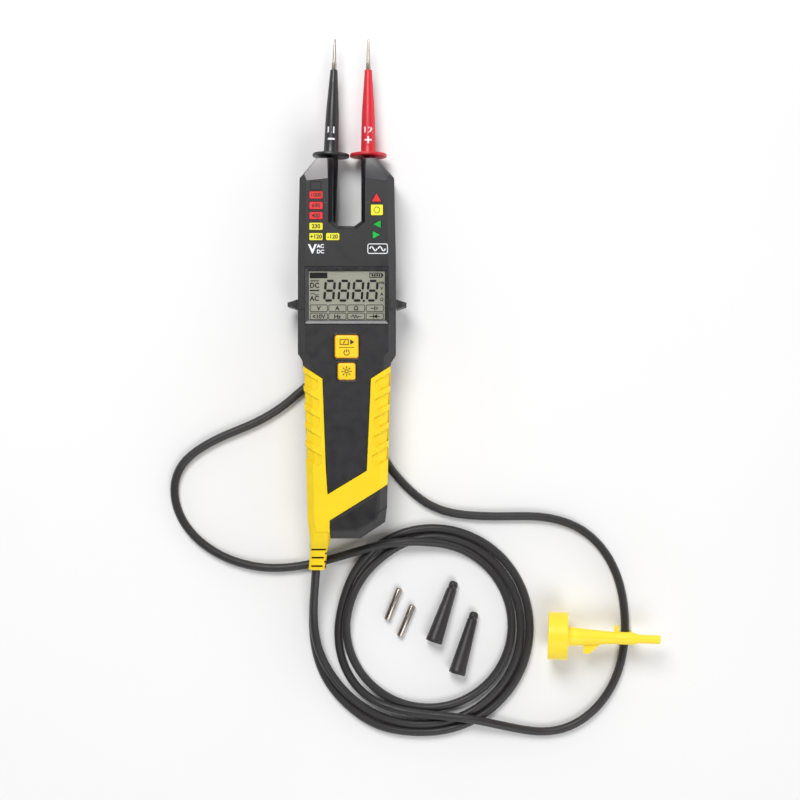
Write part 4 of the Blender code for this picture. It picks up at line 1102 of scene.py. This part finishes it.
def make_cable_boot():
    """A soft block that narrows to the cord, cut by slots above and below and by notches at its sides."""
    bm = bmesh.new()
    rings = []
    for y, x, z, half_x, half_z, power in (
            (-104.6, -15.9, 18.5, 5.3, 12.9, 6), (-105.1, -15.9, 18.5, 5.6, 13.15, 6),
            (-108.0, -15.85, 18.5, 5.75, 12.7, 6), (-111.3, -15.8, 18.8, 5.8, 11.3, 6),
            (-113.5, -15.9, 18.9, 5.8, 10.0, 6), (-115.5, -16.2, 18.6, 5.6, 8.6, 5.5),
            (-117.4, -16.55, 18.2, 5.35, 7.1, 5), (-119.0, -16.8, 17.9, 5.15, 6.1, 4.5),
            (-122.0, -17.15, 17.6, 5.05, 5.4, 4), (-126.0, -17.55, 17.4, 4.95, 5.1, 4),
            (-129.8, -17.95, 17.2, 4.85, 4.9, 4), (-130.4, -18.0, 17.15, 4.6, 4.6, 3.5)):
        rings.append(boot_ring(bm, y, x, z, half_x, half_z, power))
    bore = CORD_R + 0.1
    for y, x, z in ((BOOT_TOP - 18.8, -18.3, 17.1), (-116.0, -17.6, 17.4)):
        rings.append(boot_ring(bm, y, x, z, bore, bore, 2))
    for low, high in zip(rings, rings[1:]):
        for i in range(len(low)):
            j = (i + 1) % len(low)
            bm.faces.new((low[i], low[j], high[j], high[i]))
    bm.faces.new(rings[0])
    bm.faces.new(rings[-1])
    cuts = bmesh.new()
    for y, x0, x1 in ((-118.1, -21.0, -12.4), (-123.0, -20.9, -13.6), (-128.0, -21.1, -14.4)):
        outline = rectangle(x0, x1, y - 0.55, y + 0.55)
        for z0, z1 in ((19.8, 31.0), (4.0, 14.5)):
            add_loft(cuts, [(z0, outline), (z1, outline)])
    for i, y in enumerate((-120.5, -125.5)):
        x = -17.3 - 0.5 * i
        for side in (-1, 1):
            edges = sorted((x + side * 4.3, x + side * 8.0))
            outline = rectangle(*edges, y - 0.6, y + 0.6)
            add_loft(cuts, [(10.0, outline), (26.0, outline)])
    # A dark block behind the slots: painted shade, so the slots read dark inside the yellow rubber.
    slot_shade_block = loft([(14.2, rectangle(-21.2, -12.6, -129.3, -117.0)),
                 (19.9, rectangle(-21.2, -12.6, -129.3, -117.0))])
    piece("boot_slot_shade", slot_shade_block, BOOT_SHADE)
    piece("boot", bm, YELLOW, replaces=["cable_boot"], tools=[("DIFFERENCE", cuts)],
          bevel=0.15, segments=2, angle=40)


# ---------------------------------------------------------------- loose pieces

CAP_START = Vector((118.6, -169.8, 14.2))
CAP_END = Vector((183.8, -171.5, 19.9))
CAP_R = 13.9


def make_cap():
    axis = CAP_END - CAP_START
    profile = [(0.15, 12.9), (0.0, 13.0), (0.0, CAP_R - 0.25), (0.1, CAP_R - 0.05), (0.35, CAP_R),
               (11.0, CAP_R), (11.3, CAP_R - 0.1), (11.5, CAP_R - 0.4), (11.5, 6.4), (11.9, 5.9),
               (12.8, 5.6), (19.0, 5.05), (26.0, 4.5), (33.0, 3.95), (40.0, 3.5), (41.5, 3.5),
               (42.5, 3.62), (50.0, 3.62), (51.0, 3.4), (52.6, 2.75), (53.4, 2.6), (65.2, 2.6),
               (65.6, 2.5), (65.8, 2.25), (65.8, 1.6), (15.0, 1.6), (15.0, 3.0), (9.9, 3.0), (9.9, 12.9)]
    frame_turn = axis.normalized().to_track_quat("X", "Z").to_matrix().to_4x4()
    place = Matrix.Translation(CAP_START) @ frame_turn
    rib_plan = [(20.8, -9.6), (24.6, -9.6), (31.5, -3.2), (20.8, -3.2)]
    rib = loft([(-0.9, rib_plan), (0.9, rib_plan)])
    peg_plan = rounded(40.1, 5.1, 2.6, 5.0, 1.2, 6)
    peg = loft([(-1.1, peg_plan), (1.1, peg_plan)])
    for bm in (rib, peg):
        bmesh.ops.transform(bm, matrix=place, verts=bm.verts)
    arch = [(-4.6, 0.4), (-3.0, 0.4), (-2.9, 3.6), (-2.0, 5.2), (0.0, 5.8), (2.0, 5.2), (2.9, 3.6)]
    arch += [(3.0, 0.4), (4.6, 0.4), (3.4, 17.4), (-3.4, 16.8)]
    fork = loft([(-2.0, arch), (2.0, arch)])
    turn = Matrix.Rotation(math.radians(90), 4, "X")
    bmesh.ops.transform(fork, matrix=Matrix.Translation((165.5, -171.0, 0.0)) @ turn, verts=fork.verts)
    piece("cord_cap", aim(turned(profile, 72, hollow=True), CAP_START, axis), CAP_YELLOW,
          replaces=["protective_cap"], tools=[("UNION", rib), ("UNION", peg), ("UNION", fork)],
          bevel=0.2, segments=2, angle=40)


ADAPTERS = [((23.2, -162.1), (30.7, -143.4)), ((30.7, -172.0), (38.7, -153.1))]
TIP_COVERS = [((51.1, -174.9), (63.7, -138.8)), ((64.9, -193.8), (75.8, -157.0))]


def make_loose_pieces():
    sleeve = [(0.0, 1.3), (0.0, 1.6), (0.15, 1.85), (0.5, 2.0), (19.7, 2.0), (20.05, 1.85), (20.2, 1.6),
              (20.2, 1.3)]
    for i, (foot, top) in enumerate(ADAPTERS, 1):
        axis = Vector((*top, 0)) - Vector((*foot, 0))
        slit = loft([(0.5, rectangle(-0.28, 0.28, 1.5, 21.0)), (3.0, rectangle(-0.28, 0.28, 1.5, 21.0))])
        turn = Matrix.Rotation(math.radians(-28), 4, "Y")
        bmesh.ops.transform(slit, matrix=turn, verts=slit.verts)
        aim(slit, (*foot, 2.1), axis)
        piece(f"adapter_{i}", aim(turned(sleeve, 48, hollow=True), (*foot, 2.1), axis), NICKEL,
              f"tip_adapter_{i}", [f"tip_adapter_{i}"], tools=[("DIFFERENCE", slit)], angle=40)
    cover = [(0.15, 3.6), (0.0, 3.7), (0.0, 4.8), (0.15, 5.0), (0.5, 5.1), (2.6, 4.98), (2.75, 4.88),
             (33.0, 3.0), (33.4, 2.9), (33.6, 2.6), (34.3, 2.55), (34.6, 2.75), (36.4, 2.65), (37.5, 2.3),
             (38.0, 1.7), (38.2, 1.2), (38.2, 0), (30.0, 0), (30.0, 2.2)]
    for i, (foot, top) in enumerate(TIP_COVERS, 1):
        axis = Vector((*top, 2.9)) - Vector((*foot, 5.2))
        piece(f"cover_{i}", aim(turned(cover, 48, hollow=True), (*foot, 5.25), axis), CORD_SKIN,
              f"tip_cover_{i}", [f"tip_cover_{i}"], angle=40)


# ---------------------------------------------------------------- pieces kept from the frame

def make_kept_nodes():
    looks = {
        "black_probe_boot": CORD_SKIN, "probe_clip": NICKEL, "main_circuit_board": CIRCUIT,
        "keypad_membrane": MEMBRANE, "mode_switch": NICKEL, "light_switch": NICKEL, "buzzer": BLACK,
        "jaw_core": CORE, "sense_coil_left": COPPER, "sense_coil_right": COPPER, "cell_1": CELL,
        "cell_2": CELL, "cell_contact_1": NICKEL, "cell_contact_2": NICKEL, "cell_spring_1": NICKEL,
        "cell_spring_2": NICKEL, "cell_bridge": NICKEL, "cover_screw": NICKEL, "lcd_backlight": BACKLIGHT,
        "lcd_connector": CONNECTOR,
    }
    for i in range(1, 5):
        looks[f"case_screw_{i}"] = NICKEL
    for name, look in looks.items():
        repaint(name, look)


def main():
    make_camera()
    make_lights()
    make_floor()
    make_housing()
    make_cover_panel()
    make_cover_seam()
    make_prong_patches()
    make_face_marks()
    make_keys()
    make_display()
    make_indicators()
    make_probes()
    make_cable_boot()
    make_cap()
    make_cord()
    make_loose_pieces()
    make_kept_nodes()


main()
